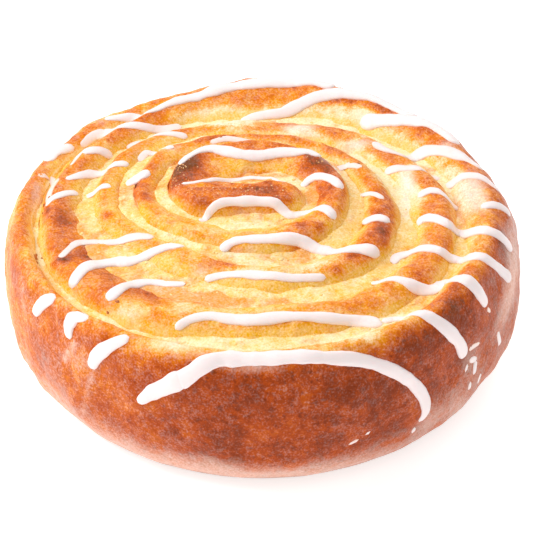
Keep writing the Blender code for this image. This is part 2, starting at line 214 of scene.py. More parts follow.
def hermite(places, values, at):
    # A smooth curve through the values at the given places.
    places = np.asarray(places, float)
    values = np.asarray(values, float)
    slopes = np.gradient(values, places)
    left = np.clip(np.searchsorted(places, at, side="right") - 1, 0, len(places) - 2)
    gap = places[left + 1] - places[left]
    part = np.clip((at - places[left]) / gap, 0, 1)
    near = 2 * part**3 - 3 * part**2 + 1
    leave = part**3 - 2 * part**2 + part
    arrive = part**3 - part**2
    sloped = (leave * slopes[left] + arrive * slopes[left + 1]) * gap
    return near * values[left] + (1 - near) * values[left + 1] + sloped


def crestRadius(turn):
    radii = coilForm["crestRadii"]
    return hermite(np.arange(len(radii)) / stepsPerTurn - 1, radii, turn) * mm


def atTurn(name, turn):
    turns, sizes = zip(*coilForm[name])
    return np.interp(turn, turns, sizes) * mm


def valleyPlace(turn):
    return np.interp(turn, *zip(*coilForm["valleyPlaces"]))


def shareOf(dx, dy):
    return (math.pi - np.arctan2(dy, dx)) / (2 * math.pi) % 1.0


def shoulder(share):
    # The outermost crest on this ray: radius, height, and how much of it is the tail.
    end = coilForm["end"]
    tailEnd = end - wholeTurns
    tail = 1 - smoothStep(tailEnd - coilForm["tail"], tailEnd, share)
    lastTurn = np.minimum(share + wholeTurns, end)
    radius = crestRadius(share + wholeTurns - 1)
    height = atTurn("crestHeights", share + wholeTurns - 1)
    radius = radius + tail * (crestRadius(lastTurn) - radius)
    height = height + tail * (atTurn("crestHeights", lastTurn) - height)
    return radius, height, tail


def readTop(x, y):
    # The dough inside the outermost crest: its height, the nearest crest's turn, the signed way from
    # that crest to the valley, and the custard's height there.
    dx = np.asarray(x, float) - centreX
    dy = np.asarray(y, float) - centreY
    radius = np.hypot(dx, dy)
    share = shareOf(dx, dy)
    lastRadius, lastHeight, tail = shoulder(share)
    height = atTurn("crestHeights", share - 1)
    crest = share - 1
    across = np.zeros_like(height)
    custard = np.full_like(height, -1.0)
    inner = crestRadius(share - 1)
    for turn in range(wholeTurns + 1):
        outerTurn = share + turn
        if turn < wholeTurns:
            outer = crestRadius(outerTurn)
            outerHeight = atTurn("crestHeights", outerTurn)
            depth = atTurn("valleyDepths", outerTurn)
        else:
            outerTurn = np.minimum(outerTurn, coilForm["end"])
            outer = lastRadius
            outerHeight = lastHeight
            depth = atTurn("valleyDepths", outerTurn) * tail
        innerHeight = atTurn("crestHeights", share + turn - 1)
        part = np.clip((radius - inner) / np.maximum(outer - inner, 0.01 * mm), 0, 1)
        place = valleyPlace(outerTurn)
        valley = np.minimum(part / place, (1 - part) / (1 - place))
        line = innerHeight + part * (outerHeight - innerHeight)
        here = radius > inner
        height = np.where(here, line - depth * valley**2, height)
        crest = np.where(here, np.where(part < place, share + turn - 1, outerTurn), crest)
        across = np.where(here, np.where(part < place, valley, -valley), across)
        custard = np.where(here, line - atTurn("custardDrops", outerTurn), custard)
        inner = outer
    return height, crest, across, custard


def roundBun(values, share):
    # A smooth curve through values given clockwise from the -X side.
    size = len(values)
    around = [values[i % size] for i in range(-1, size + 2)]
    return hermite(np.arange(-1, size + 2) / size, around, share)


def wallRadius(share):
    return (coilForm["bunRadius"] + roundBun(coilForm["wallSwells"], share)) * mm


def wallPoint(share, swing):
    # The swing is 0 at the crest, 1 at the bulge and 2 at the base.
    crest, height, _ = shoulder(share)
    bend = swing * math.pi / 2
    below = swing > 1
    start = np.where(below, coilForm["baseRadius"] * mm, crest)
    rise = np.where(below, bulgeHeight, height - bulgeHeight)
    return start + (wallRadius(share) - start) * np.sin(bend), bulgeHeight + rise * np.cos(bend)


def surfacePoint(x, y):
    # The point reached from the centre by going over the top, then down the wall.
    dx = x - centreX
    dy = y - centreY
    reach = math.hypot(dx, dy)
    share = shareOf(dx, dy)
    crest = float(shoulder(share)[0])
    if reach <= crest:
        return np.array((x, y, float(readTop(x, y)[0])))
    radii, heights = wallPoint(share, np.linspace(0, 2, 80))
    lengths = np.concatenate(([0], np.cumsum(np.hypot(np.diff(radii), np.diff(heights)))))
    radius = np.interp(reach - crest, lengths, radii)
    height = np.interp(reach - crest, lengths, heights)
    return np.array((centreX + dx * radius / reach, centreY + dy * radius / reach, height))


# Dough. Patches are laid out in plan, in mm: x, y, half length along X and Y, strength. Past the crest
# a patch's distance from the centre is measured down the wall. Tuples of eight go clockwise from the -X
# side.
doughLook = {
    # How finely the mesh is divided.
    "around": 540,
    "topRings": 112,
    "wallRings": 42,
    "baseRings": 6,
    # How far each stretch of the strip is baked, from 0, pale, to 1, dark.
    "bakedCrests": (
        (-1, 0.6), (-0.75, 0.5), (-0.5, 0.56), (-0.25, 0.5), (0, 0.66), (0.1, 0.7), (0.2, 0.54),
        (0.3, 0.56), (0.4, 0.64), (0.5, 0.52), (0.625, 0.46), (0.75, 0.36), (0.875, 0.4), (1, 0.5),
        (1.1, 0.5), (1.25, 0.5), (1.4, 0.46), (1.5, 0.6), (1.6, 0.6), (1.7, 0.34), (1.8, 0.26), (1.9, 0.3),
        (2, 0.4), (2.1, 0.44), (2.25, 0.42), (2.4, 0.46), (2.5, 0.52), (2.6, 0.48), (2.7, 0.34),
        (2.8, 0.36), (2.9, 0.5), (3, 0.56), (3.1, 0.52), (3.25, 0.52), (3.4, 0.58), (3.5, 0.6), (3.6, 0.6),
        (3.7, 0.4), (3.8, 0.4), (4, 0.52), (4.24, 0.52),
    ),
    # How far down each side of a crest the baked colour reaches, how much that wanders and over what
    # length, and how baked the slopes are where it ends.
    "innerFade": 0.52,
    "outerFade": 0.78,
    "fadeWander": 0.7,
    "wanderSize": 9 * mm,
    "slopeBaked": (0.3, 0.24, 0.13, 0.1, 0.14, 0.2, 0.2, 0.32),
    # How far above the custard its stain reaches. The dough ends in a thin pale lip at a height over
    # the custard, with a strength by turn. All heights are in mm.
    "stainReach": 2.6,
    "lipHeight": 0.5,
    "lipWidth": 0.55,
    "lips": ((0, 0.2), (1, 0.1), (2, 0.15), (3, 0.3), (3.4, 0.3), (3.6, 0.7), (4, 1.0), (4.24, 1.0)),
    # The slopes grow paler between these distances from the centre, in mm.
    "slopePaleness": (0.1, 0.3, 0.8, 0.9, 0.7, 0.35, 0.3, 0.2),
    "paleBetween": (14, 30),
    # The wall: its baked colour and its thin glaze, and between which two swings each comes in. A swing
    # is 0 at the crest, 1 at the bulge and 2 at the base.
    "wallSwing": (0.05, 0.5),
    "wallBakedSwing": (0, 0.45),
    "lowWallSwing": (1.1, 1.7),
    "baseFilmAndBounceSwing": (0.8, 1.6),
    "upperWallShare": 1.03,
    "lowWallShare": 0.9,
    "baseBaked": 0.55,
    "undersideFilm": 0.2,
    "wallBaked": (0.18, 0.35, 0.5, 0.6, 0.66, 0.8, 0.81, 0.56),
    "wallFilm": (0.2, 0.15, 0.15, 0.3, 0.4, 0.1, -0.5, 0.05),
    # The film at the base is partly glaze pooled there and partly painted light bounced up from the floor.
    "baseFilmAndBounce": (0.3, 0.3, 0.3, 0.3, 0.4, 0.35, 1.45, 0.65),
    # Colours from pale to dark, each with how baked the dough is there.
    "crestTones": (
        (0.0, "#FADC9C"), (0.2, "#F7C06C"), (0.36, "#F2A24C"), (0.52, "#E58434"), (0.66, "#D06829"),
        (0.82, "#AD4F24"), (1.0, "#7A4526"),
    ),
    "wallTones": (
        (0.0, "#F9BB7C"), (0.3, "#E6893A"), (0.55, "#C86022"), (0.78, "#AE4716"), (1.0, "#873615"),
    ),
    "goldenSlope": "#F6BE5A",
    "paleSlope": "#FCE9CC",
    "lip": "#FCE8BC",
    "custardStain": "#F7C763",
    "scorchedStain": "#E88F3C",
    # The film's colour on the wall is a darker copy with painted shade; on top it is a lighter copy with
    # painted light.
    "filmAndPaintedLight": "#F1C4B0",
    "litTopFilm": "#FCEDE2",
    # The dark rim low on the wall and under the base is partly the baked bottom edge and partly painted
    # contact shadow.
    "baseRimAndContactShade": "#6B4020",
    "stainCover": 0.85,
    "lipCover": 0.75,
    "rimAndShadeCover": 0.7,
    "rimAndShadeHeights": (3.6 * mm, 1.9 * mm),
    # Noises from broad to dust: the lumps' size, detail and roughness, and their share in the mottling.
    "noises": ((7 * mm, 3), (2.6 * mm, 4, 0.6), (0.8 * mm, 3, 0.65), (0.3 * mm, 1)),
    "noiseShares": (0.5, 0.55, 0.3, 0.2),
    # How strongly the mottling shows on the crests and, on top of that, on the wall.
    "mottling": 1.15,
    "wallMottling": 0.1,
    "fleckSize": 1.5 * mm,
    "flecks": 0.26,
    "speckling": 1.0,
    "wallSpeckling": 0.25,
    # The finish: its roughness, dry and under glaze, how much it reflects, how much light goes in and
    # how deep for red, green and blue, the pores' scale, and the fine relief's strength and depth.
    "roughness": (0.44, 0.32),
    "specular": 0.16,
    "softness": (0.06, (0.002, 0.001, 0.0005)),
    "poreScale": 900.0,
    "relief": (0.9, 0.3 * mm),
    # How much a pale patch lightens the baked colour, and how fast a scorched one hides the stain.
    "patchPaling": 0.5,
    "stainFading": 3,
    # Spots that baked darker, or lighter where the strength is below zero.
    "darkPatches": (
        (-19.5, 12.5, 3.5, 5, 0.4), (-16, 16.5, 2, 1.5, -0.2), (-12, 25, 4, 1.6, 0.25),
        (14.5, 13.5, 5, 2.4, 0.2), (1.8, -0.5, 9, 2.6, 0.1), (8, -2, 2, 3, -0.3), (-10, -3, 4, 2.4, -0.12),
        (27.5, -13.5, 1.8, 4, 0.3), (27.5, -1, 1.8, 3, 0.12), (19.5, -22.7, 1.8, 1.3, 0.28),
        (16.5, -26.8, 1.6, 1.3, 0.28), (23, -20.5, 2.4, 2, 0.25), (26.5, -21.5, 2.2, 4, -0.3),
        (29.5, -14, 1.5, 4, -0.2), (18, -38, 5, 2.6, 0.2), (7, -36, 6, 2, 0.12), (13, -10.5, 2, 2, -0.15),
        (9, -13.8, 2, 1.4, 0.25), (12.5, -13.5, 1.3, 1.3, 0.2), (-26.5, 1, 1.6, 1.8, 0.35),
        (-35, -5, 1.6, 1.4, 0.22), (-31, 5, 2.4, 6, 0.4), (-22, 5, 4, 5, 0.2), (-14, 6, 4, 5, 0.32),
        (-43, -8, 3.8, 8, 0.22), (-46.5, -5, 3.5, 9, 0.03), (-49.5, -2, 1, 2.6, 0.22),
        (-50, -17, 2.5, 8, -0.15), (-43.8, -21.7, 2.2, 1.4, 0.32), (-37.5, -18.5, 4, 5, 0.34),
        (-33, -26, 4, 4.5, 0.2), (-22, -31.5, 5, 4.5, 0.5), (-10, -35.5, 6, 3, 0.6), (2, -36, 6, 1.6, 0.2),
        (-33, -33.4, 4, 2.4, 0.18), (14, 1, 2.4, 6, 0.5), (10.5, 10.5, 4, 2.6, 0.35),
        (8, -22.5, 5, 1.6, 0.1), (45.5, -2, 2.4, 8, 0.16), (33.5, -18, 3.5, 4, 0.16), (35, -31, 2, 4, 0.3),
        (30, -31, 2, 3, -0.2), (-8, -24, 5, 4, 0.3), (0, 9, 4, 2, 0.3), (12, 8, 3, 4, 0.25),
        (-57, -22, 4, 10, 0.25), (57, -13, 4, 4, 0.3), (18, 22, 4, 3, 0.25), (40, 14, 8, 5, 0.14),
        (46, 2, 1.6, 6, 0.2), (-58, -43, 5, 5, 0.25), (53, -47, 5, 2, 0.3), (9, -20, 4, 4, 0.28),
        (2, -1, 3, 4, 0.2), (0, -8, 5, 2, 0.2), (-3, 8.5, 4, 2, 0.2), (-37, -13, 2.5, 4, 0.3),
        (-28, -24, 2, 4, 0.25), (-16, -33.5, 6, 2, 0.2), (-20, -49, 4, 2, 0.2), (-23, 16, 3, 5, -0.15),
        (28.5, 8, 1.6, 12, -0.12), (29.5, 23, 3, 4, 0.25), (16, 33, 4, 3, 0.25), (5, 37, 4, 2.4, 0.3),
        (-24, 37, 3.5, 5, 0.16), (-4, 45.5, 8, 2, 0.18), (18, 45, 6, 1.6, 0.16), (31, 42, 5, 3, 0.16),
        (41.2, -38.3, 5.5, 4, 0.24), (32, -48.5, 6, 3, 0.22), (51, -2, 2, 8, -0.25), (50, -13, 2, 3, -0.2),
        (47.5, -24, 2.5, 2.5, -0.2), (30, 49, 5, 2, 0.15), (-44, -50, 6, 8, -0.15),
        (18, -54.5, 9, 1.6, -0.3), (26, -58, 12, 6, 0.08), (-36, -62, 6, 5, -0.12),
    ),
    # Stretches that stayed pale and creamy.
    "palePatches": (
        (-8, 36, 8, 3.5, 0.7), (26, 31, 5, 3.5, 0.3), (10, 31, 5, 2, 0.3), (22, 24, 5, 3, 0.35),
        (-12, 41, 7, 2.4, 0.5), (5.5, 2, 2.2, 5, 0.3), (-12, -13, 9, 3, 0.35), (12, -25, 7, 4, 0.5),
        (-2, -27.5, 8, 2.4, 0.35), (33.5, 6, 2.5, 8, 0.5), (35.5, 14.5, 2.5, 3, 0.6), (47, 4, 3.2, 8, 0.5),
        (45, 21, 3, 3, 0.6), (42, 12.5, 2.5, 4, 0.25), (26, 12, 3, 7, 0.3), (-4, -40.5, 8, 3, 0.2),
        (-16, -37.5, 4, 4, 0.6), (-29, -41, 5, 3, 0.5), (21, -49.5, 8, 3.5, 0.6), (29, -43.5, 5, 3.5, 0.5),
        (-18, -51.5, 9, 3, 0.6), (-50.5, -14, 2.5, 8, 0.4), (-43, 21, 3, 5, 0.3), (-40, 39, 6, 4, 0.35),
        (-31, 47, 4, 4, 0.35), (48.5, -17, 2, 6, 0.3),
    ),
    # Thin glaze, also beside the icing and in faint runs down the wall. At the upper right and just under
    # the long front stripe the patches are partly painted highlight.
    "glazeAndSheenPatches": (
        (-3.8, -6.8, 5, 1.4, 0.35), (-2.6, -20.6, 9, 1.6, 0.4), (-56, -30, 4, 7, 0.3),
        (62, -20, 4, 14, 0.55), (48, 5, 3, 9, 0.7), (34, 8, 2.6, 9, 0.75), (42, 14, 3, 4, 0.35),
        (23, 25, 5, 2.6, 0.6), (9, 32, 5, 3, 0.8), (15.5, 13, 2.5, 2.5, 0.55), (-13.5, -26.5, 4, 2.4, 0.4),
        (-5, 36, 8, 3, 0.3), (44.5, 23, 3, 3, 0.4), (-52.5, 5, 1.8, 9, 0.5), (-22, 20, 3, 2, 0.5),
        (-38, -55, 6, 7, 0.35), (-46, -50, 6, 7, 0.3), (-56, -45, 6, 8, 0.3), (-2, -58.5, 13, 2.4, 0.9),
        (58, -56, 9, 5, 0.28), (48, -63, 8, 5, 0.3), (51, 1, 2, 8, 0.4), (-43, -50, 3, 4, 0.2),
        (10, 26, 3, 3, 0.4), (-40, 37, 4, 3, 0.35), (6, 45, 5, 2, 0.3), (18, 46, 3, 2, 0.3),
        (30, 33, 4, 2, 0.3), (-22, -31, 8, 2.5, 0.25), (-18, -55, 10, 2, 0.55), (56, -46, 7, 5, 0.35),
        (-44, -46.3, 1.2, 0.8, 0.4), (-46.5, -47.2, 1.2, 0.8, 0.4), (-49, -47.8, 1.2, 0.8, 0.4),
        (-42.5, -55, 1.2, 0.9, 0.3), (-44.5, -56.2, 1.2, 0.9, 0.3), (-46.5, -57.3, 1.2, 0.9, 0.3),
        (-48.5, -58.4, 1.2, 0.9, 0.3), (-50.5, -59.5, 1.2, 0.9, 0.3), (-52.5, -60.6, 1.2, 0.9, 0.3),
    ),
    "flakePatches": (
        (-13, 25.5, 4, 0.8, 1), (-49.5, -18, 0.8, 3, 1), (28, 47, 1, 0.8, 1), (19, 51, 3, 0.8, 0.6),
        (-49.5, 0, 0.8, 3, 0.6), (24, 13, 3, 1, 0.4), (-20, 17, 1.5, 1.5, 0.5), (-44, -41, 3, 1, 0.5),
        (-30, -38.5, 3, 1, 0.5),
    ),
    "beadPatches": (
        (-19.5, 11, 3, 5, 1.0), (-8, -0.5, 6, 3, 1.0), (13, 12, 5, 3, 0.5), (-17, 3, 3, 3, 0.8),
        (2, -1, 8, 3, 0.35),
    ),
}


filmCover = 0.75  # how well the thin glaze hides what it lies on


def patched(patches, x, y):
    total = np.zeros_like(x)
    for px, py, halfX, halfY, strength in patches:
        away = ((x / mm - px) / halfX) ** 2 + ((y / mm - py) / halfY) ** 2
        total += strength * np.exp(-away)
    return total


def topRings(share, angle):
    # Rings from the centre out to the last crest, and the marks that the finish reads: browned, stained,
    # lipped, pale, on the wall, and glazed with painted light mixed in, then the place in the patches'
    # plan.
    look = doughLook
    lastRadius = shoulder(share)[0]
    turns, baked = zip(*look["bakedCrests"])
    lips = tuple(zip(*look["lips"]))
    paleness = roundBun(look["slopePaleness"], share)
    slopeBaked = roundBun(look["slopeBaked"], share)
    none = np.zeros_like(share)
    rings, marks = [], []

    for i in range(1, look["topRings"] + 1):
        radius = lastRadius * i / look["topRings"]
        x = centreX + radius * np.cos(angle)
        y = centreY + radius * np.sin(angle)
        height, crest, across, custard = readTop(x, y)
        if i == look["topRings"]:
            crest, across = share + wholeTurns - 1, none
        rings.append((x, y, height))
        wander = np.array([noise.noise(Vector((a, b, 0.0)) / look["wanderSize"]) for a, b in zip(x, y)])
        fade = np.where(across < 0, look["innerFade"], look["outerFade"])
        fade = fade * (1 + look["fadeWander"] * wander)
        crestBaked = np.interp(crest, turns, baked)
        browned = slopeBaked + (crestBaked - slopeBaked) * np.exp(-(np.abs(across / fade) ** 3))
        above = (height - custard) / mm
        stained = np.where(custard > 0, 1 - smoothStep(0, look["stainReach"], above), 0)
        lipped = np.exp(-(((above - look["lipHeight"]) / look["lipWidth"]) ** 2)) * np.interp(crest, *lips)
        lipped = np.where(custard > 0, lipped, 0)
        pale = paleness * smoothStep(*look["paleBetween"], radius / mm)
        marks.append((browned, stained, lipped, pale, none, none, x, y))
    return rings, marks


def wallRings(share, angle):
    # Rings from the last crest down the wall and in under the base, with the same marks.
    look = doughLook
    none = np.zeros_like(share)
    rings, marks = [], []
    lastRadius, lastHeight, _ = shoulder(share)
    crestBaked = np.interp(share + wholeTurns - 1, *zip(*look["bakedCrests"]))
    paleness = roundBun(look["slopePaleness"], share)
    wallBaked = roundBun(look["wallBaked"], share)
    wallFilm = roundBun(look["wallFilm"], share)
    baseFilmAndBounce = roundBun(look["baseFilmAndBounce"], share)
    unrolled = lastRadius.copy()
    before = (lastRadius, lastHeight)
    for i in range(1, look["wallRings"] + 1):
        swing = 2 * i / look["wallRings"]
        radius, height = wallPoint(share, swing)
        unrolled += np.hypot(radius - before[0], height - before[1])
        before = (radius, height)
        rings.append((centreX * max(0, 1 - swing) + radius * np.cos(angle), radius * np.sin(angle), height))
        down = smoothStep(*look["wallBakedSwing"], swing)
        low = smoothStep(*look["lowWallSwing"], swing)
        wallShare = look["upperWallShare"] * (1 - low) + look["lowWallShare"] * low
        browned = crestBaked * (1 - down) + wallBaked * down * wallShare
        # The film low on the wall is partly glaze and partly painted bounce light from the floor.
        filmAndPaintedLight = wallFilm * down + baseFilmAndBounce * smoothStep(*look["baseFilmAndBounceSwing"], swing)
        onWall = none + smoothStep(*look["wallSwing"], swing)
        x = centreX + unrolled * np.cos(angle)
        y = centreY + unrolled * np.sin(angle)
        marks.append((browned, none, none, paleness, onWall, filmAndPaintedLight, x, y))

    for i in range(1, look["baseRings"] + 1):
        radius = coilForm["baseRadius"] * mm * (1 - i / (look["baseRings"] + 1))
        rings.append((radius * np.cos(angle), radius * np.sin(angle), none))
        underside = (none + look["baseBaked"], none, none, none, none + 1, none + look["undersideFilm"])
        marks.append((*underside, x, y))
    return rings, marks


def makeDoughMesh():
    look = doughLook
    share = np.arange(look["around"]) / look["around"]
    angle = math.pi - 2 * math.pi * share
    rings, marks = (top + wall for top, wall in zip(topRings(share, angle), wallRings(share, angle)))
    points = np.concatenate([np.stack(ring, axis=1) for ring in rings])
    browned, stained, lipped, pale, onWall, glazeAndPaintedLight, x, y = (
        np.concatenate([mark[k] for mark in marks]) for k in range(8)
    )
    pallid = patched(look["palePatches"], x, y)
    scorched = patched(look["darkPatches"], x, y)
    browned = browned + scorched - look["patchPaling"] * pallid
    stained = stained * np.clip(1 - look["stainFading"] * scorched, 0, 1)
    # The glaze patches include painted highlight at the upper right and under the front stripe.
    glazeAndPaintedLight = glazeAndPaintedLight + patched(look["glazeAndSheenPatches"], x, y)
    attributes = {
        "browned": browned,
        "stained": stained,
        "lipped": lipped,
        "pale": pale + pallid,
        "onWall": onWall,
        "glazeAndPaintedLight": glazeAndPaintedLight,
        "beaded": np.clip(patched(look["beadPatches"], x, y), 0, 1),
        "flaked": np.clip(patched(look["flakePatches"], x, y), 0, 1),
    }
    attributes = {name: np.append(values, (values[0], values[-1])) for name, values in attributes.items()}
    middleTop = (centreX, centreY, float(readTop(centreX, centreY)[0]))
    points = np.concatenate([points, [middleTop, (0, 0, 0)]])

    count, size = len(rings), look["around"]
    first = np.arange(size)
    following = (first + 1) % size
    faces = [(count * size, int(b), int(a)) for a, b in zip(first, following)]
    for ring in range(count - 1):
        upper, lower = ring * size, (ring + 1) * size
        faces += np.stack([upper + first, upper + following, lower + following, lower + first], 1).tolist()
    last = (count - 1) * size
    faces += [(count * size + 1, int(last + a), int(last + b)) for a, b in zip(first, following)]
    return newPiece("dough", points, faces, attributes=attributes)


def blend(tree, factor, first, second):
    # A Mix node keeps its colours in sockets 6 and 7 and gives the mixed colour at output 2.
    node = addNode(tree, "ShaderNodeMix", data_type="RGBA")
    plugIn(tree, node.inputs[0], factor)
    plugIn(tree, node.inputs[6], first)
    plugIn(tree, node.inputs[7], second)
    return node.outputs[2]


def toned(tree, value, tones):
    # A colour ramp through the tones, each its place and its colour.
    ramp = addNode(tree, "ShaderNodeValToRGB", {"Fac": value})
    while len(ramp.color_ramp.elements) < len(tones):
        ramp.color_ramp.elements.new(0.5)
    for element, (position, code) in zip(ramp.color_ramp.elements, tones):
        element.position = position
        element.color = hexColour(code)
    return ramp.outputs["Color"]


def covered(tree, colour, amount, strength, cover):
    # The colour with a cover laid over it, fully where the amount and the strength are 1.
    if isinstance(cover, str):
        cover = hexColour(cover)
    return blend(tree, calc(tree, "MULTIPLY", amount, strength), colour, cover)


def softened(shader, weight, depths):
    shader.inputs["Subsurface Weight"].default_value = weight
    shader.inputs["Subsurface Radius"].default_value = depths


def bumped(tree, shader, height, strength, distance):
    bump = addNode(tree, "ShaderNodeBump", {"Height": height, "Strength": strength, "Distance": distance})
    plugIn(tree, shader.inputs["Normal"], bump.outputs["Normal"])


def mark(tree, name):
    return addNode(tree, "ShaderNodeAttribute", attribute_name=name).outputs["Fac"]


def varied(tree, base, *layers):
    # The base plus each noise, which counts from its middle, times its amount.
    for noisy, amount in layers:
        base = calc(tree, "MULTIPLY_ADD", calc(tree, "SUBTRACT", noisy, 0.5), amount, base)
    return base


def speckled(tree, place, colour, amount):
    # Fine unevenness in how strong and how bright the colour is.
    coarse = grain(tree, place, 3.1 * mm, 3, 0.6)
    middle = grain(tree, place, 1.1 * mm, 3, 0.7)
    fine = grain(tree, place, 0.45 * mm, 1)
    stronger = varied(tree, 0.0, (coarse, 0.35), (middle, 0.5), (fine, 0.55))
    lighter = varied(tree, 0.0, (middle, -0.1), (fine, -0.45))
    node = addNode(tree, "ShaderNodeHueSaturation", {"Color": colour})
    plugIn(tree, node.inputs["Saturation"], calc(tree, "MULTIPLY_ADD", stronger, amount, 1.0))
    plugIn(tree, node.inputs["Value"], calc(tree, "MULTIPLY_ADD", lighter, amount, 1.0))
    return node.outputs["Color"]


def doughMaterial():
    look = doughLook
    material, tree, shader = newMaterial("bakedDough")
    place = addNode(tree, "ShaderNodeTexCoord").outputs["Object"]
    noises = [grain(tree, place, *sizes) for sizes in look["noises"]]
    broad, mottle, fine, dust = noises
    browned = mark(tree, "browned")
    onWall = mark(tree, "onWall")
    flecks = mapped(tree, grain(tree, place, look["fleckSize"], 3, 0.6), 0.54, 0.72)
    mottling = varied(tree, 0.0, *zip(noises, look["noiseShares"]))
    amount = calc(tree, "MULTIPLY_ADD", onWall, look["wallMottling"], look["mottling"])
    baked = calc(tree, "MULTIPLY_ADD", mottling, amount, browned)
    baked = calc(tree, "MULTIPLY_ADD", calc(tree, "MULTIPLY", flecks, browned), look["flecks"], baked)
    crestColour = toned(tree, baked, look["crestTones"])
    slope = varied(tree, mark(tree, "pale"), (broad, 1.2), (mottle, 0.9), (dust, 0.3))
    slopeColour = blend(tree, slope, hexColour(look["goldenSlope"]), hexColour(look["paleSlope"]))
    colour = blend(tree, mapped(tree, baked, 0.04, 0.36), slopeColour, crestColour)
    colour = blend(tree, onWall, colour, toned(tree, baked, look["wallTones"]))

    # Over it lie the custard's stain, the pale lip, the film of glaze, lighter on top and darker on the
    # wall as painted light and shade, and the dark rim at the base, partly the baked bottom edge and partly
    # painted contact shadow.
    stain = mapped(tree, varied(tree, mark(tree, "stained"), (mottle, 0.9), (fine, 0.4)), 0.25, 1.0)
    stainColours = hexColour(look["custardStain"]), hexColour(look["scorchedStain"])
    stainColour = blend(tree, mapped(tree, baked, 0.25, 0.8), *stainColours)
    colour = covered(tree, colour, stain, look["stainCover"], stainColour)
    lip = mapped(tree, varied(tree, mark(tree, "lipped"), (mottle, 1.2), (broad, 0.6)), 0.45, 1.0)
    colour = covered(tree, colour, lip, look["lipCover"], look["lip"])
    filmAndPaintedLight = mapped(tree, varied(tree, mark(tree, "glazeAndPaintedLight"), (mottle, 0.35), (broad, 0.45)), 0.16, 0.9)
    # Painted light and shade: the film takes the lighter copy on top and the darker copy on the wall.
    litAndShadedFilm = blend(tree, onWall, hexColour(look["litTopFilm"]), hexColour(look["filmAndPaintedLight"]))
    colour = covered(tree, colour, filmAndPaintedLight, filmCover, litAndShadedFilm)
    speckling = calc(tree, "MULTIPLY_ADD", onWall, look["wallSpeckling"], look["speckling"])
    colour = speckled(tree, place, colour, speckling)
    # The dark rim over the lowest few mm: partly baked bottom edge, partly painted contact shadow.
    height = addNode(tree, "ShaderNodeSeparateXYZ", {0: place}).outputs["Z"]
    rim = mapped(tree, height, *look["rimAndShadeHeights"])
    colour = covered(tree, colour, rim, look["rimAndShadeCover"], look["baseRimAndContactShade"])
    plugIn(tree, shader.inputs["Base Color"], colour)
    plugIn(tree, shader.inputs["Roughness"], mapped(tree, filmAndPaintedLight, 0, 0.5, *look["roughness"]))
    shader.inputs["Specular IOR Level"].default_value = look["specular"]
    softened(shader, *look["softness"])

    inputs = {"Vector": place, "Scale": look["poreScale"]}
    pores = addNode(tree, "ShaderNodeTexVoronoi", inputs).outputs["Distance"]
    relief = calc(tree, "MULTIPLY_ADD", fine, 0.5, calc(tree, "MULTIPLY", pores, 0.25))
    bumped(tree, shader, calc(tree, "ADD", relief, mottle), *look["relief"])
    return material


# The skin's own relief: soft lumps and finer wrinkles. It is left off the flat base.
skinLook = {
    "Lump Height": 2.6 * mm,
    "Lump Size": 12 * mm,
    "Wrinkle Height": 0.7 * mm,
    "Wrinkle Size": 3 * mm,
}


def skinTree():
    names = {name: ("Float", value) for name, value in skinLook.items()}
    tree, given = newTree("bakedSkin", {**names, "Material": ("Material", None)})
    place = addNode(tree, "GeometryNodeInputPosition").outputs[0]
    normal = addNode(tree, "GeometryNodeInputNormal").outputs[0]
    lumps = addNode(tree, "ShaderNodeTexNoise", {"Vector": place, "Detail": 1.0})
    plugIn(tree, lumps.inputs["Scale"], calc(tree, "DIVIDE", 1.0, given["Lump Size"]))
    wrinkles = addNode(tree, "ShaderNodeTexNoise", {"Vector": place, "Detail": 2.0})
    plugIn(tree, wrinkles.inputs["Scale"], calc(tree, "DIVIDE", 1.0, given["Wrinkle Size"]))
    rise = calc(tree, "MULTIPLY", calc(tree, "SUBTRACT", lumps.outputs[0], 0.5), given["Lump Height"])
    fine = calc(tree, "MULTIPLY", calc(tree, "SUBTRACT", wrinkles.outputs[0], 0.5), given["Wrinkle Height"])
    height = addNode(tree, "ShaderNodeSeparateXYZ", {0: place}).outputs["Z"]
    offBase = mapped(tree, height, 0.5 * mm, 6 * mm)
    rise = calc(tree, "MULTIPLY", calc(tree, "ADD", rise, fine), offBase)
    moved = addNode(tree, "GeometryNodeSetPosition", {"Geometry": given["Geometry"]})
    plugIn(tree, pickSocket(moved.inputs, "Offset"), scaled(tree, normal, rise))
    endTree(tree, moved.outputs[0], given["Material"])
    return tree


def makeDough():
    dough = makeDoughMesh()
    grow(dough, skinTree(), {**skinLook, "Material": doughMaterial()})
    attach(dough, "root")
    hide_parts("bun")
    print("dough:", len(dough.data.polygons), "faces")
    return dough


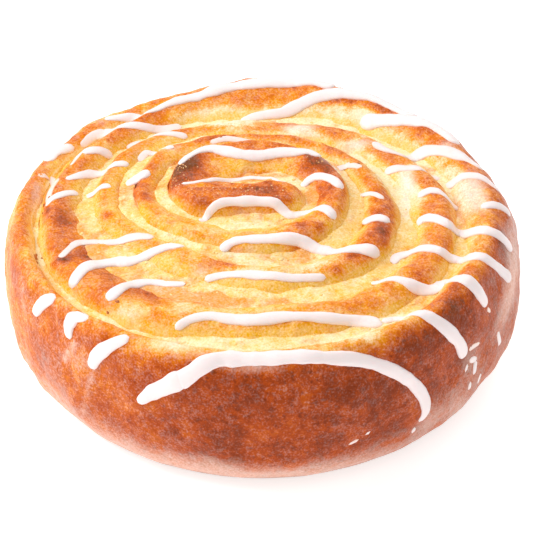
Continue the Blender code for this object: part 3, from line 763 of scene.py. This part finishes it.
# Custard: a band along the valleys whose edges run just under the dough.
custardLook = {
    "start": 0.07,
    "end": 4.04,
    "step": 0.6 * mm,
    "columns": 15,
    # How far the band reaches under the dough on each side and how narrow it starts, as parts of the
    # way between two crests, and over how many turns it thins out at each end.
    "reach": 0.048,
    "narrowest": 0.25,
    "startTaper": (-0.01, 0.05),
    "endTaper": (-0.1, 0.01),
    # It sags in the middle, dips at its edges, and its level wanders along the coil.
    "sag": 0.25 * mm,
    "edgeDip": 3 * mm,
    "edgeFrom": 0.8,
    "wander": 0.5 * mm,
    "wanderRate": 22,
    "leastDrop": 0.2 * mm,
    # It always lies above the valley's floor: the valley is at least this many times as deep as the
    # custard's drop, and with the wander the drop is at most this part of the depth.
    "leastDepth": 1.05,
    "mostDrop": 0.95,
    "thickness": 3 * mm,
    "underside": (0.6, 0, -0.6),
    # How thickly the curds lie, in the middle and at the edges.
    "curdling": (0.35, 1.0),
    "paleness": (0.45, 0.55, 0.7, 0.75, 0.4, 0.37, 0.54, 0.4),
    "tones": ((0.1, "#F0A640"), (0.35, "#F6BD58"), (0.6, "#FAD07C"), (0.85, "#FDE6B4")),
    "cream": "#FBE0A4",
    "toasted": "#EE9C46",
    "creamCover": 0.75,
    "toastedCover": 0.85,
    # Noises from broad to fine: the lumps' size, detail and roughness.
    "noises": ((6 * mm, 3), (1.5 * mm, 4, 0.6), (0.5 * mm, 2)),
    "toastedSize": 4.2 * mm,
    # The finish, as for the dough.
    "roughness": 0.38,
    "softness": (0.1, (0.003, 0.0018, 0.0006)),
    "relief": (0.7, 0.3 * mm),
    # The surface's own relief, made by the same tree as the dough's skin.
    "Lump Height": 1.5 * mm,
    "Lump Size": 5 * mm,
    "Wrinkle Height": 0.4 * mm,
    "Wrinkle Size": 1.6 * mm,
}


def makeCustardMesh():
    look = custardLook
    start, end = look["start"], look["end"]
    # Rows at an even distance along the coil.
    fine = np.linspace(start, end, 2000)
    middle = (crestRadius(fine - 1) + crestRadius(fine)) / 2
    lengths = np.concatenate(([0], np.cumsum(2 * math.pi * middle[1:] * np.diff(fine))))
    count = round(lengths[-1] / look["step"])
    turns = np.interp(np.linspace(0, lengths[-1], count), lengths, fine)
    inner, outer = crestRadius(turns - 1), crestRadius(turns)
    innerHeight, outerHeight = atTurn("crestHeights", turns - 1), atTurn("crestHeights", turns)
    drop = atTurn("custardDrops", turns)
    depth = np.maximum(atTurn("valleyDepths", turns), drop * look["leastDepth"])
    wander = np.array([noise.noise(Vector((turn * look["wanderRate"], 0.3, 0.7))) for turn in turns])
    drop = np.clip(drop + wander * look["wander"], look["leastDrop"], depth * look["mostDrop"])
    taper = smoothStep(start + look["startTaper"][0], start + look["startTaper"][1], turns)
    taper *= 1 - smoothStep(end + look["endTaper"][0], end + look["endTaper"][1], turns)
    root = np.sqrt(drop / depth)
    centre = 0.5 + (valleyPlace(turns) - 0.5) * root
    half = (1 - root) / 2 * (look["narrowest"] + (1 - look["narrowest"]) * taper) + look["reach"]
    angle = math.pi - 2 * math.pi * turns

    columns, rims, curdled = [], [], []
    for across in np.linspace(-1, 1, look["columns"]):
        part = centre + across * half
        radius = inner + part * (outer - inner)
        height = innerHeight + part * (outerHeight - innerHeight) - drop
        height -= look["sag"] * (1 - across**2) + look["edgeDip"] * max(0, abs(across) - look["edgeFrom"])
        columns.append((radius, height))
        rims.append(abs(across))
        curdled.append(np.interp(abs(across), (0, 1), look["curdling"]))
    for across in look["underside"]:
        part = centre + across * half
        height = innerHeight + part * (outerHeight - innerHeight) - drop - look["thickness"]
        columns.append((inner + part * (outer - inner), height))
        rims.append(1)
        curdled.append(0)
    cosine, sine = np.cos(angle), np.sin(angle)
    points = [(centreX + radius * cosine, centreY + radius * sine, height) for radius, height in columns]
    points = np.stack([np.stack(column, axis=1) for column in points], axis=1)
    size = len(columns)
    first = np.arange(size)
    following = (first + 1) % size
    faces = [first.tolist(), (first + (count - 1) * size)[::-1].tolist()]
    for row in range(count - 1):
        here, after = row * size, (row + 1) * size
        faces += np.stack([here + first, after + first, after + following, here + following], 1).tolist()
    points = points.reshape(-1, 3)
    x, y = points[:, 0], points[:, 1]
    pale = np.repeat(roundBun(look["paleness"], turns % 1), size) + patched(doughLook["palePatches"], x, y)
    attributes = {
        "rim": np.tile(rims, count),
        "curdled": np.tile(curdled, count),
        "pale": pale,
        "scorched": patched(doughLook["darkPatches"], x, y),
        "glazeAndPaintedLight": patched(doughLook["glazeAndSheenPatches"], x, y),
    }
    return newPiece("custardFilling", points, faces, attributes=attributes)


def custardMaterial():
    look = custardLook
    material, tree, shader = newMaterial("bakedCustard")
    place = addNode(tree, "ShaderNodeTexCoord").outputs["Object"]
    broad, curds, fine = (grain(tree, place, *sizes) for sizes in look["noises"])
    tone = varied(tree, mark(tree, "pale"), (curds, 0.6), (broad, 0.9), (fine, 0.3))
    colour = toned(tree, calc(tree, "ADD", tone, 0.2), look["tones"])
    cream = mapped(tree, varied(tree, mark(tree, "rim"), (curds, 1.1), (broad, 1.0)), 0.55, 1.15)
    colour = covered(tree, colour, cream, look["creamCover"], look["cream"])
    patches = grain(tree, place, look["toastedSize"], 3, 0.6)
    patches = calc(tree, "MULTIPLY_ADD", mark(tree, "scorched"), 0.9, patches)
    toasted = mapped(tree, varied(tree, patches, (curds, 0.25)), 0.54, 0.8)
    colour = covered(tree, colour, toasted, look["toastedCover"], look["toasted"])
    # Glaze over the custard in the lighter top copy, with the patches' painted highlight.
    filmAndPaintedLight = mapped(tree, varied(tree, mark(tree, "glazeAndPaintedLight"), (curds, 0.6), (broad, 0.6)), 0.12, 0.9)
    colour = covered(tree, colour, filmAndPaintedLight, filmCover, doughLook["litTopFilm"])
    plugIn(tree, shader.inputs["Base Color"], speckled(tree, place, colour, 1.0))
    shader.inputs["Roughness"].default_value = look["roughness"]
    softened(shader, *look["softness"])
    bumped(tree, shader, calc(tree, "MULTIPLY_ADD", fine, 0.4, curds), *look["relief"])
    return material


def makeCustard():
    custard = makeCustardMesh()
    grow(custard, skinTree(), {**custardLook, "Material": custardMaterial()})
    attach(custard, "root")
    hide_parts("custard")
    print("custard:", len(custard.data.polygons), "faces")
    return custard


# Scattered bits: soft curds on the custard, glossy beads of syrup and toasted flakes on the dough. The
# density is per square metre where the surface is marked fully, and the two colours blend in spots.
curdLook = {
    "Density": 80000.0,
    "Smallest": 0.15 * mm,
    "Largest": 0.42 * mm,
    "Flatness": 0.3,
    "Seed": 4,
    "colours": ("#F8CD74", "#FADC9C"),
    "roughness": 0.35,
    "spotSize": 2.2 * mm,
}
beadLook = {
    "Density": 900000.0,
    "Smallest": 0.1 * mm,
    "Largest": 0.22 * mm,
    "Flatness": 0.6,
    "Seed": 11,
    "colours": ("#E0904C", "#F6CC94"),
    "roughness": 0.06,
    "spotSize": 1.5 * mm,
}
flakeLook = {
    "Density": 300000.0,
    "Smallest": 0.2 * mm,
    "Largest": 0.55 * mm,
    "Flatness": 0.3,
    "Seed": 23,
    "colours": ("#A4551F", "#CE7A34"),
    "roughness": 0.6,
    "spotSize": 1.2 * mm,
}


def randomSize(tree, low, high, seed):
    inputs = {"Min": low, "Max": high, "Seed": seed}
    sockets = addNode(tree, "FunctionNodeRandomValue", inputs, data_type="FLOAT").outputs
    return next(socket for socket in sockets if socket.enabled)


def scatterTree(name, marking):
    names = {
        "Density": ("Float", 1e5),
        "Smallest": ("Float", 0.3 * mm),
        "Largest": ("Float", 0.8 * mm),
        "Flatness": ("Float", 0.5),
        "Seed": ("Int", 1),
        "Material": ("Material", None),
    }
    tree, given = newTree(name, names)
    density = calc(tree, "MULTIPLY", named(tree, marking), given["Density"])
    inputs = {"Mesh": given["Geometry"], "Density": density, "Seed": given["Seed"]}
    spots = addNode(tree, "GeometryNodeDistributePointsOnFaces", inputs).outputs
    # Each bit is a small rough lump, up to 1.6 times as long as it is wide.
    width = randomSize(tree, given["Smallest"], given["Largest"], given["Seed"])
    length = calc(tree, "MULTIPLY", width, randomSize(tree, 0.7, 1.6, 7))
    height = calc(tree, "MULTIPLY", width, given["Flatness"])
    scale = addNode(tree, "ShaderNodeCombineXYZ", {0: length, 1: width, 2: height}).outputs[0]
    lump = addNode(tree, "GeometryNodeMeshUVSphere", {"Segments": 8, "Rings": 5, "Radius": 1.0}).outputs[0]
    inputs = {"Points": spots["Points"], "Instance": lump, "Rotation": spots["Rotation"], "Scale": scale}
    bits = addNode(tree, "GeometryNodeInstanceOnPoints", inputs).outputs[0]
    bits = addNode(tree, "GeometryNodeRealizeInstances", {"Geometry": bits}).outputs[0]
    place = addNode(tree, "GeometryNodeInputPosition").outputs[0]
    inputs = {"Vector": place, "Scale": 900.0, "Detail": 1.0}
    rough = addNode(tree, "ShaderNodeTexNoise", inputs).outputs["Color"]
    rough = vectorCalc(tree, "SUBTRACT", rough, (0.5, 0.5, 0.5))
    shaped = addNode(tree, "GeometryNodeSetPosition", {"Geometry": bits})
    plugIn(tree, pickSocket(shaped.inputs, "Offset"), scaled(tree, rough, given["Largest"]))
    endTree(tree, shaped.outputs[0], given["Material"])
    return tree


def bitMaterial(name, look):
    material, tree, shader = newMaterial(name)
    place = addNode(tree, "ShaderNodeTexCoord").outputs["Object"]
    mix = mapped(tree, grain(tree, place, look["spotSize"], 2), 0.35, 0.65)
    plugIn(tree, shader.inputs["Base Color"], blend(tree, mix, *map(hexColour, look["colours"])))
    shader.inputs["Roughness"].default_value = look["roughness"]
    softened(shader, 0.1, (0.001, 0.0006, 0.0003))
    return material


def makeScattered(name, host, marking, look, material, node):
    bits = bpy.data.objects.new(name, host.data.copy())
    bpy.context.scene.collection.objects.link(bits)
    grow(bits, scatterTree(name, marking), {**look, "Material": material})
    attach(bits, "root")
    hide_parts(node)
    print(name + ":", len(bits.data.polygons), "faces")


def makeBits(dough, custard):
    curdFinish = bitMaterial("custardCurd", curdLook)
    beadFinish = bitMaterial("syrupBead", beadLook)
    flakeFinish = bitMaterial("toastedFlake", flakeLook)
    makeScattered("custardCurds", custard, "curdled", curdLook, curdFinish, "custard")
    makeScattered("syrupBeads", dough, "beaded", beadLook, beadFinish, "bun")
    makeScattered("toastedFlakes", dough, "flaked", flakeLook, flakeFinish, "bun")


# Icing. Stripes of icing run over dough and custard, laid on the ground below them.
icingLook = {
    "Step": 0.55 * mm,
    "Rise": 0.42,
    "Waviness": 0.4,
    "Settling": 4,
    # Colours from thin to thick icing; the rope's lower sides also take the thinner, pinker tones as
    # painted shade.
    "tones": ((0.1, "#EDA878"), (0.38, "#F3CDB6"), (0.62, "#F5DFD8"), (0.95, "#F8E9E7")),
    # The finish, as for the dough.
    "roughness": 0.4,
    "softness": (0.2, (0.002, 0.0012, 0.001)),
    "relief": (0.25, 0.2 * mm),
    # A path is laid out in steps this long, and its way out of the dough is measured over this reach
    # and evened out over this many steps to each side.
    "pathStep": 1.5 * mm,
    "pathReach": 2 * mm,
    "evenedSteps": 3,
    # A rope has this many sides, narrows over this part of its half width at each end, and keeps a
    # small tip.
    "sides": 14,
    "endLength": 1.3,
    "tipWidth": 0.03,
    # Each point falls from above the path to the ground. Gaps deeper than this below the rope are
    # bridged.
    "fallFrom": 5 * mm,
    "fallLength": 12 * mm,
    "bridging": 0.25 * mm,
    # How square the crown is, and how much of the rope's lower half is kept.
    "crownPower": 0.8,
    "footShare": 0.4,
    # Each stripe is its half widths from end to end in mm, how thickly it lies from 0 to 1, then its
    # points in plan in mm.
    "stripes": (
        (
            (1.0, 1.6, 2.0, 2.0), 0.9, (-39, 37.5), (-33, 39.5), (-28, 40), (-24.5, 42.5), (-20.5, 45),
            (-16, 47), (-9.5, 50), (-2.5, 51.5), (6.5, 52.5), (13, 52.5), (18.5, 50.5),
        ),
        (
            (0.9, 1.7, 2.0, 1.7), 0.9, (-5.5, 40.5), (-3, 41.5), (1, 42.5), (5, 43), (8.5, 44.5),
            (13, 46.5), (17.5, 47.5), (22, 47.5), (26.5, 46.5), (30.5, 44.5), (35, 40.5), (38, 37),
        ),
        (
            (1.0, 1.4, 0.9), 0.6, (-44, 28), (-41, 32), (-37.5, 33.5), (-33, 33.5), (-29, 34), (-25, 35),
            (-20, 37.5),
        ),
        ((0.8, 1.3, 0.9), 0.6, (-33, 27), (-30.5, 29), (-26.5, 29.5), (-22, 29.5), (-18, 29)),
        (
            (2.4, 1.9), 0.8, (24, 37.5), (27.5, 37), (32, 36), (36.5, 34.5), (40.5, 32.5), (44, 29),
            (47, 24),
        ),
        ((1.6, 1.5), 0.75, (-51.5, 19.5), (-49, 24.5), (-45.5, 27)),
        ((1.3, 1.5, 1.2), 0.6, (-43, 20.5), (-40, 22), (-36, 23)),
        ((0.5, 0.8, 0.5), 0.25, (-42, 24), (-43.5, 20.5), (-45.5, 16)),
        ((0.8, 1.3), 0.65, (-29.5, 18), (-27.5, 21.5), (-24, 21.5), (-21, 20)),
        ((0.7, 1.0, 0.9), 0.4, (-12.5, 23.5), (-8.5, 25), (-3, 24), (3, 22.5), (7.5, 22)),
        (
            (1.4, 1.8, 1.7, 1.4), 0.55, (26.5, 25.5), (30.5, 23), (34, 22), (38, 24), (42.5, 22),
            (46.5, 19.5), (50, 17.5), (52.5, 14.5),
        ),
        (
            (0.9, 1.3, 1.1), 0.65, (-46, 9.5), (-43.5, 11.5), (-41, 14), (-38, 15.5), (-35, 15.5),
            (-31.5, 16),
        ),
        ((1.5, 1.7), 1.0, (-31, 8), (-29, 10), (-26, 9.5)),
        (
            (0.9, 1.7, 1.6, 1.3), 1.0, (-19.2, 9.8), (-18.2, 11.8), (-16.7, 13.9), (-14.6, 15.8),
            (-12, 16.6), (-9, 15.8), (-5.5, 14.6), (-1, 14.5), (4, 15.5), (8, 15.5), (12, 15.5),
            (14, 14),
        ),
        ((0.9, 0.8), 0.3, (16, 12), (19.5, 14.5), (23.5, 12)),
        ((1.2, 1.4, 1.0), 0.5, (29, 15), (32, 15), (35, 14.5), (38.5, 15), (42, 13.5)),
        ((1.1, 1.5, 1.3), 0.6, (43.5, 10.5), (46.5, 11), (49.5, 10), (53, 9), (56.5, 6.5)),
        ((0.8, 1.3, 0.9), 0.2, (-53, 13), (-50.5, 14.5), (-48.5, 10), (-49, 5), (-49.5, 1)),
        ((0.8, 1.1), 0.75, (-50, 0.5), (-47.5, 2), (-45.5, 3.5), (-43, 5.5)),
        ((0.9, 1.0), 0.6, (-40, 5), (-38, 6.5), (-35, 6)),
        ((0.9, 1.5), 1.0, (9.5, 5.5), (11, 7), (13.5, 6.5), (16.5, 4), (18.5, 1)),
        ((0.6, 0.9), 0.45, (22.5, 3), (25.5, 1.5), (28, -0.5)),
        ((1.0, 1.2), 0.75, (36, 3.5), (38.5, 4.5), (42, 3.5), (45, 1.5)),
        ((1.0, 1.2), 0.8, (50, -2.5), (53, -1), (56, 0), (59, 0)),
        ((0.5, 0.7, 0.6), 0.7, (-18.5, 2), (-14.5, 3), (-11, 6), (-6.5, 8), (-2, 9), (2, 8), (5.5, 4)),
        (
            (0.8, 1.3, 1.2, 1.3), 1.0, (-14.5, -8), (-12, -6.5), (-9, -5.5), (-5, -5), (-1, -4.5),
            (3, -5), (6.5, -6.5), (9.5, -5.5), (12.5, -6), (15, -8), (16.5, -10),
        ),
        ((1.2, 1.4), 0.8, (22.5, -8), (25.5, -8), (29, -9)),
        (
            (1.1, 1.5, 1.4), 0.95, (35.5, -7), (36.5, -5.5), (39, -6.5), (42, -9), (45, -8.5),
            (47.5, -10.5), (51, -12), (55, -11.9), (60, -11),
        ),
        (
            (0.7, 1.1, 1.1), 0.45, (-44.5, -21.5), (-43, -18), (-40.5, -14), (-37, -13), (-33, -13.5),
            (-29, -13.5), (-24, -14),
        ),
        (
            (1.1, 1.6, 1.6), 0.95, (-9, -19.5), (-6, -18.5), (-1, -18.2), (4, -18), (8.5, -17.8),
            (12.5, -18.5), (16, -20), (20, -20.2), (26, -20.5),
        ),
        (
            (0.9, 1.5, 1.5), 1.0, (29.5, -22), (31.5, -18.5), (34, -17.5), (37, -18.5), (40, -19.5),
            (43, -19), (47, -21.5), (51, -21.8), (55, -21.3), (60, -20.6),
        ),
        (
            (1.6, 1.6, 1.0), 1.0, (-41, -31), (-40, -28), (-37, -23), (-33, -21), (-29, -20.5),
            (-26, -19.5), (-23, -18.5), (-20, -17.5), (-17, -18),
        ),
        (
            (1.4, 1.3, 1.1, 0.6), 0.95, (-32.5, -37.5), (-31, -34.5), (-28.5, -30.5), (-25, -28.5),
            (-21, -28.8), (-16, -29),
        ),
        (
            (1.0, 1.2, 1.0), 0.8, (-12.5, -28.5), (-9, -28), (-4, -28.5), (1, -29.3), (6, -29.8),
            (10, -29.5), (14, -29),
        ),
        (
            (0.9, 1.4, 1.4, 1.9, 1.5), 1.0, (24, -29), (27, -29.3), (30, -30.5), (33.5, -31.5),
            (37, -30.5), (39.5, -28.5), (43.5, -31), (48, -32.5), (52, -33),
        ),
        ((1.2, 1.6, 1.2), 1.0, (-54.2, -34.3), (-49.5, -33.8), (-44.3, -34.8)),
        ((1.1, 1.6, 0.8), 1.0, (-44.2, -45), (-43, -42.3), (-40, -41), (-36.5, -42.5)),
        ((1.5, 1.5, 0.9), 1.0, (-41, -53), (-37.5, -51), (-32.5, -49.8), (-27.5, -49)),
        (
            (1.0, 1.5, 1.3, 1.5), 1.0, (-18, -45.5), (-15, -43.8), (-11, -42.8), (-7, -43.5), (-2, -44),
            (4.5, -43.3), (11, -43), (16, -42.8), (20, -42.3), (25, -41.5),
        ),
        (
            (0.8, 1.4, 1.5), 1.0, (25, -41.5), (29, -40.3), (33, -41.8), (37, -43.2), (41.5, -44),
            (46, -44.8), (51.5, -46.5),
        ),
        ((1.0, 1.6, 2.1, 2.0), 1.0, (-30, -63.5), (-26, -62), (-21.5, -60.8), (-16, -59)),
        (
            (1.9, 1.8, 1.6, 1.5, 1.5, 1.45, 1.4, 1.1), 1.0, (-19, -60.5), (-15, -58.7), (-11.5, -56.8),
            (-8, -56), (-3, -56), (2, -56), (8, -55.7), (14, -55.5), (20.5, -55.2), (26.5, -55.7),
            (33.5, -56.8), (39.5, -58.5), (44, -60.8), (46, -63.3), (46.2, -65.8),
        ),
        # Small drops and curls down the wall.
        ((0.3, 0.4), 0.6, (-50, -48.2), (-51, -47.8)),
        ((0.6, 0.5), 0.8, (46, -67.6), (47, -69.4)),
        ((0.8, 0.7, 0.4), 0.25, (51.5, -44.5), (53.5, -42.5), (55.5, -41)),
        ((0.4, 0.5), 0.7, (54, -40.5), (55, -39.8)),
        ((0.6, 0.9, 0.6), 0.6, (54.5, -46), (56.5, -45), (58.5, -44)),
        ((0.9, 0.5), 0.9, (58, -44.5), (60, -47.5)),
        ((0.5, 0.5), 0.7, (54.5, -47), (55.5, -49)),
        ((0.5, 0.7), 0.8, (59.5, -49.5), (61.5, -51)),
        ((0.6, 0.4), 0.7, (64, -45), (66.5, -47)),
        ((0.6, 0.8), 0.7, (63, -33.5), (68, -34)),
        ((0.6, 0.5), 0.3, (52.5, -33.5), (55, -33)),
        ((0.4, 0.5), 0.6, (28.5, -72.5), (29.7, -71.2)),
        ((0.3, 0.5), 0.4, (24.5, -76), (27.3, -74)),
    ),
}


def stripePaths():
    # Every stripe as a chain of edges on the dough, with its width, thickness and way out of the dough.
    look = icingLook
    evened = look["evenedSteps"]
    points, edges, halves, thick, outward = [], [], [], [], []
    for widths, thickness, *plan in look["stripes"]:
        plan = np.array(plan, float) * mm
        lengths = np.concatenate(([0], np.cumsum(np.hypot(*np.diff(plan, axis=0).T))))
        places = np.linspace(0, lengths[-1], max(6, round(lengths[-1] / look["pathStep"])))
        route = np.stack([hermite(lengths, plan[:, axis], places) for axis in (0, 1)], axis=1)
        start = len(points)
        directions = []
        for x, y in route:
            reach = look["pathReach"]
            alongX = surfacePoint(x + reach, y) - surfacePoint(x - reach, y)
            alongY = surfacePoint(x, y + reach) - surfacePoint(x, y - reach)
            up = np.cross(alongX, alongY)
            points.append(surfacePoint(x, y))
            directions.append(up / np.linalg.norm(up))
        padded = np.pad(np.array(directions), ((evened, evened), (0, 0)), "edge")
        outward += sum(padded[i : i + len(route)] for i in range(2 * evened + 1)).tolist()
        edges += [(i, i + 1) for i in range(start, len(points) - 1)]
        steps = np.linspace(0, 1, len(route))
        halves += (np.interp(steps, np.linspace(0, 1, len(widths)), widths) * mm).tolist()
        thick += [thickness] * len(route)
    attributes = {"halfWidth": halves, "thick": thick, "outward": outward}
    return newPiece("icing", points, [], edges, attributes)


def ropeTree():
    # A rope along each path, laid on the ground below it and rounded at both ends.
    look = icingLook
    names = {
        "Ground": ("Collection", None),
        "Step": ("Float", 0.6 * mm),
        "Rise": ("Float", 0.6),
        "Waviness": ("Float", 0.2),
        "Settling": ("Int", 5),
        "Material": ("Material", None),
    }
    tree, given = newTree("layRopes", names)
    curve = addNode(tree, "GeometryNodeMeshToCurve", {"Mesh": given["Geometry"]}).outputs[0]
    inputs = {"Curve": curve, "Length": given["Step"]}
    curve = addNode(tree, "GeometryNodeResampleCurve", inputs, mode="LENGTH").outputs[0]
    outward = vectorCalc(tree, "NORMALIZE", named(tree, "outward", "FLOAT_VECTOR"))
    inputs = {"Curve": curve, "Normal": outward}
    curve = addNode(tree, "GeometryNodeSetCurveNormal", inputs, mode="FREE").outputs[0]
    place = addNode(tree, "GeometryNodeInputPosition").outputs[0]
    wave = addNode(tree, "ShaderNodeTexNoise", {"Vector": place, "Scale": 200.0, "Detail": 2.0}).outputs[0]
    swell = calc(tree, "MULTIPLY", calc(tree, "SUBTRACT", wave, 0.5), 2.0)
    swell = calc(tree, "MULTIPLY_ADD", swell, given["Waviness"], 1.0)
    radius = calc(tree, "MULTIPLY", named(tree, "halfWidth"), swell)
    along = addNode(tree, "GeometryNodeSplineParameter").outputs["Length"]
    whole = addNode(tree, "GeometryNodeSplineLength").outputs["Length"]
    fromEnd = calc(tree, "MINIMUM", along, calc(tree, "SUBTRACT", whole, along))
    near = calc(tree, "DIVIDE", fromEnd, calc(tree, "MULTIPLY", radius, look["endLength"]))
    near = calc(tree, "SUBTRACT", 1.0, calc(tree, "MINIMUM", near, 1.0))
    cap = calc(tree, "SQRT", calc(tree, "SUBTRACT", 1.0, calc(tree, "MULTIPLY", near, near)))
    radius = calc(tree, "MULTIPLY", radius, calc(tree, "MAXIMUM", cap, look["tipWidth"]))
    curve = kept(tree, curve, "middle", place, "FLOAT_VECTOR")
    inputs = {"Resolution": look["sides"], "Radius": 1.0}
    ring = addNode(tree, "GeometryNodeCurvePrimitiveCircle", inputs).outputs[0]
    inputs = {"Curve": curve, "Profile Curve": ring, "Scale": radius, "Fill Caps": True}
    rope = addNode(tree, "GeometryNodeCurveToMesh", inputs).outputs[0]

    # Every point of the rope falls onto the ground, and the crown is raised again from there.
    offset = vectorCalc(tree, "SUBTRACT", place, named(tree, "middle", "FLOAT_VECTOR"))
    lift = vectorCalc(tree, "DOT_PRODUCT", offset, outward)
    foot = vectorCalc(tree, "SUBTRACT", place, scaled(tree, outward, lift))
    source = vectorCalc(tree, "ADD", foot, scaled(tree, outward, look["fallFrom"]))
    crown = calc(tree, "DIVIDE", lift, named(tree, "halfWidth"))
    rope = kept(tree, rope, "crown", crown)
    ground = addNode(tree, "GeometryNodeCollectionInfo", {"Collection": given["Ground"]}).outputs[0]
    ground = addNode(tree, "GeometryNodeRealizeInstances", {"Geometry": ground}).outputs[0]
    inputs = {
        "Target Geometry": ground,
        "Source Position": source,
        "Ray Direction": scaled(tree, outward, -1.0),
        "Ray Length": look["fallLength"],
    }
    ray = addNode(tree, "GeometryNodeRaycast", inputs)
    found = calc(tree, "SUBTRACT", look["fallFrom"], ray.outputs["Hit Distance"])
    found = calc(tree, "MULTIPLY", found, ray.outputs["Is Hit"])
    inputs = {"Value": found, "Iterations": given["Settling"]}
    settled = addNode(tree, "GeometryNodeBlurAttribute", inputs, data_type="FLOAT").outputs[0]
    settled = calc(tree, "MAXIMUM", settled, calc(tree, "SUBTRACT", found, look["bridging"]))
    roof = calc(tree, "POWER", calc(tree, "MAXIMUM", crown, 0.0), look["crownPower"])
    upper = calc(tree, "MULTIPLY", calc(tree, "MULTIPLY", roof, named(tree, "halfWidth")), given["Rise"])
    upper = calc(tree, "MULTIPLY", upper, named(tree, "thick"))
    lower = calc(tree, "MULTIPLY", calc(tree, "MINIMUM", lift, 0.0), look["footShare"])
    height = calc(tree, "ADD", settled, calc(tree, "ADD", upper, lower))
    laid = addNode(tree, "GeometryNodeSetPosition", {"Geometry": rope})
    landed = vectorCalc(tree, "ADD", foot, scaled(tree, outward, height))
    plugIn(tree, pickSocket(laid.inputs, "Position"), landed)
    endTree(tree, laid.outputs[0], given["Material"])
    return tree


def icingMaterial():
    look = icingLook
    material, tree, shader = newMaterial("whiteIcing")
    place = addNode(tree, "ShaderNodeTexCoord").outputs["Object"]
    cloud = grain(tree, place, 3 * mm, 3)
    # The colour follows thickness and the rope's crown: the thin lower sides show the dough through, and
    # are also painted darker and pinker as shade.
    thicknessAndShade = calc(tree, "MULTIPLY_ADD", mark(tree, "crown"), 0.55, mark(tree, "thick"))
    thicknessAndShade = varied(tree, thicknessAndShade, (cloud, 0.5))
    colour = toned(tree, calc(tree, "MULTIPLY", thicknessAndShade, 0.8), look["tones"])
    plugIn(tree, shader.inputs["Base Color"], colour)
    shader.inputs["Roughness"].default_value = look["roughness"]
    softened(shader, *look["softness"])
    bumped(tree, shader, grain(tree, place, 1.2 * mm, 2), *look["relief"])
    return material


def makeIcing(ground):
    icing = stripePaths()
    grow(icing, ropeTree(), {**icingLook, "Ground": ground, "Material": icingMaterial()})
    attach(icing, "root")
    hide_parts("bun")
    print("icing:", len(icing.data.polygons), "faces")


# Floor, light and camera.
studioLook = {
    "worldStrength": 0.68,
    "keyPower": 3.8,
    "keyPlace": (-0.5, 0.05, 0.5),
    "keySize": 0.45,
    "fillPower": 1.0,
    "fillPlace": (0.3, 0.5, 0.5),
    "fillSize": 0.5,
    "lightAim": (0, 0, 0.02),
    "floorHalf": 1.5,
    "floorGlow": 0.66,
    "floorShade": 0.72,
}


def addLight(name, place, size, power):
    light = bpy.data.lights.new(name, "AREA")
    light.energy = power
    light.size = size
    lamp = bpy.data.objects.new(name, light)
    lamp.location = place
    way = Vector(studioLook["lightAim"]) - Vector(place)
    lamp.rotation_euler = way.to_track_quat("-Z", "Y").to_euler()
    bpy.context.scene.collection.objects.link(lamp)


def makeStudio():
    look = studioLook
    half, shade = look["floorHalf"], look["floorShade"]
    corners = [(-half, -half, 0), (half, -half, 0), (half, half, 0), (-half, half, 0)]
    floor = newPiece("floor", corners, [(0, 1, 2, 3)])
    material, _, shader = newMaterial("paleFloor")
    shader.inputs["Base Color"].default_value = (shade, shade, shade, 1)
    shader.inputs["Roughness"].default_value = 0.9
    shader.inputs["Specular IOR Level"].default_value = 0.1
    shader.inputs["Emission Color"].default_value = (1, 1, 1, 1)
    shader.inputs["Emission Strength"].default_value = look["floorGlow"]
    floor.data.materials.append(material)
    scene = bpy.context.scene
    scene.world = bpy.data.worlds.new("studio")
    scene.world.use_nodes = True
    sky = scene.world.node_tree.nodes["Background"]
    sky.inputs["Color"].default_value = (1, 1, 1, 1)
    sky.inputs["Strength"].default_value = look["worldStrength"]
    addLight("key", look["keyPlace"], look["keySize"], look["keyPower"])
    addLight("fill", look["fillPlace"], look["fillSize"], look["fillPower"])
    scene.view_settings.view_transform = "Standard"


# The camera looks down at the bun from the front. The lens and the sensor's width are in mm.
cameraLook = {
    "elevation": 36.0,
    "distance": 0.42,
    "lens": 120.3,
    "sensor": 36,
    "aim": (0.00106, 0.0, 0.0179),
}


def makeCamera():
    look = cameraLook
    data = bpy.data.cameras.new("camera")
    data.lens = look["lens"]
    data.sensor_width = look["sensor"]
    camera = bpy.data.objects.new("camera", data)
    tilt = math.radians(look["elevation"])
    x, y, z = look["aim"]
    camera.location = (x, y - look["distance"] * math.cos(tilt), z + look["distance"] * math.sin(tilt))
    camera.rotation_euler = (math.pi / 2 - tilt, 0, 0)
    bpy.context.scene.collection.objects.link(camera)
    bpy.context.scene.camera = camera


def main():
    makeStudio()
    makeCamera()
    dough = makeDough()
    custard = makeCustard()
    makeBits(dough, custard)
    ground = bpy.data.collections.new("ground")
    ground.objects.link(dough)
    ground.objects.link(custard)
    makeIcing(ground)
    bpy.data.collections.remove(ground)


main()
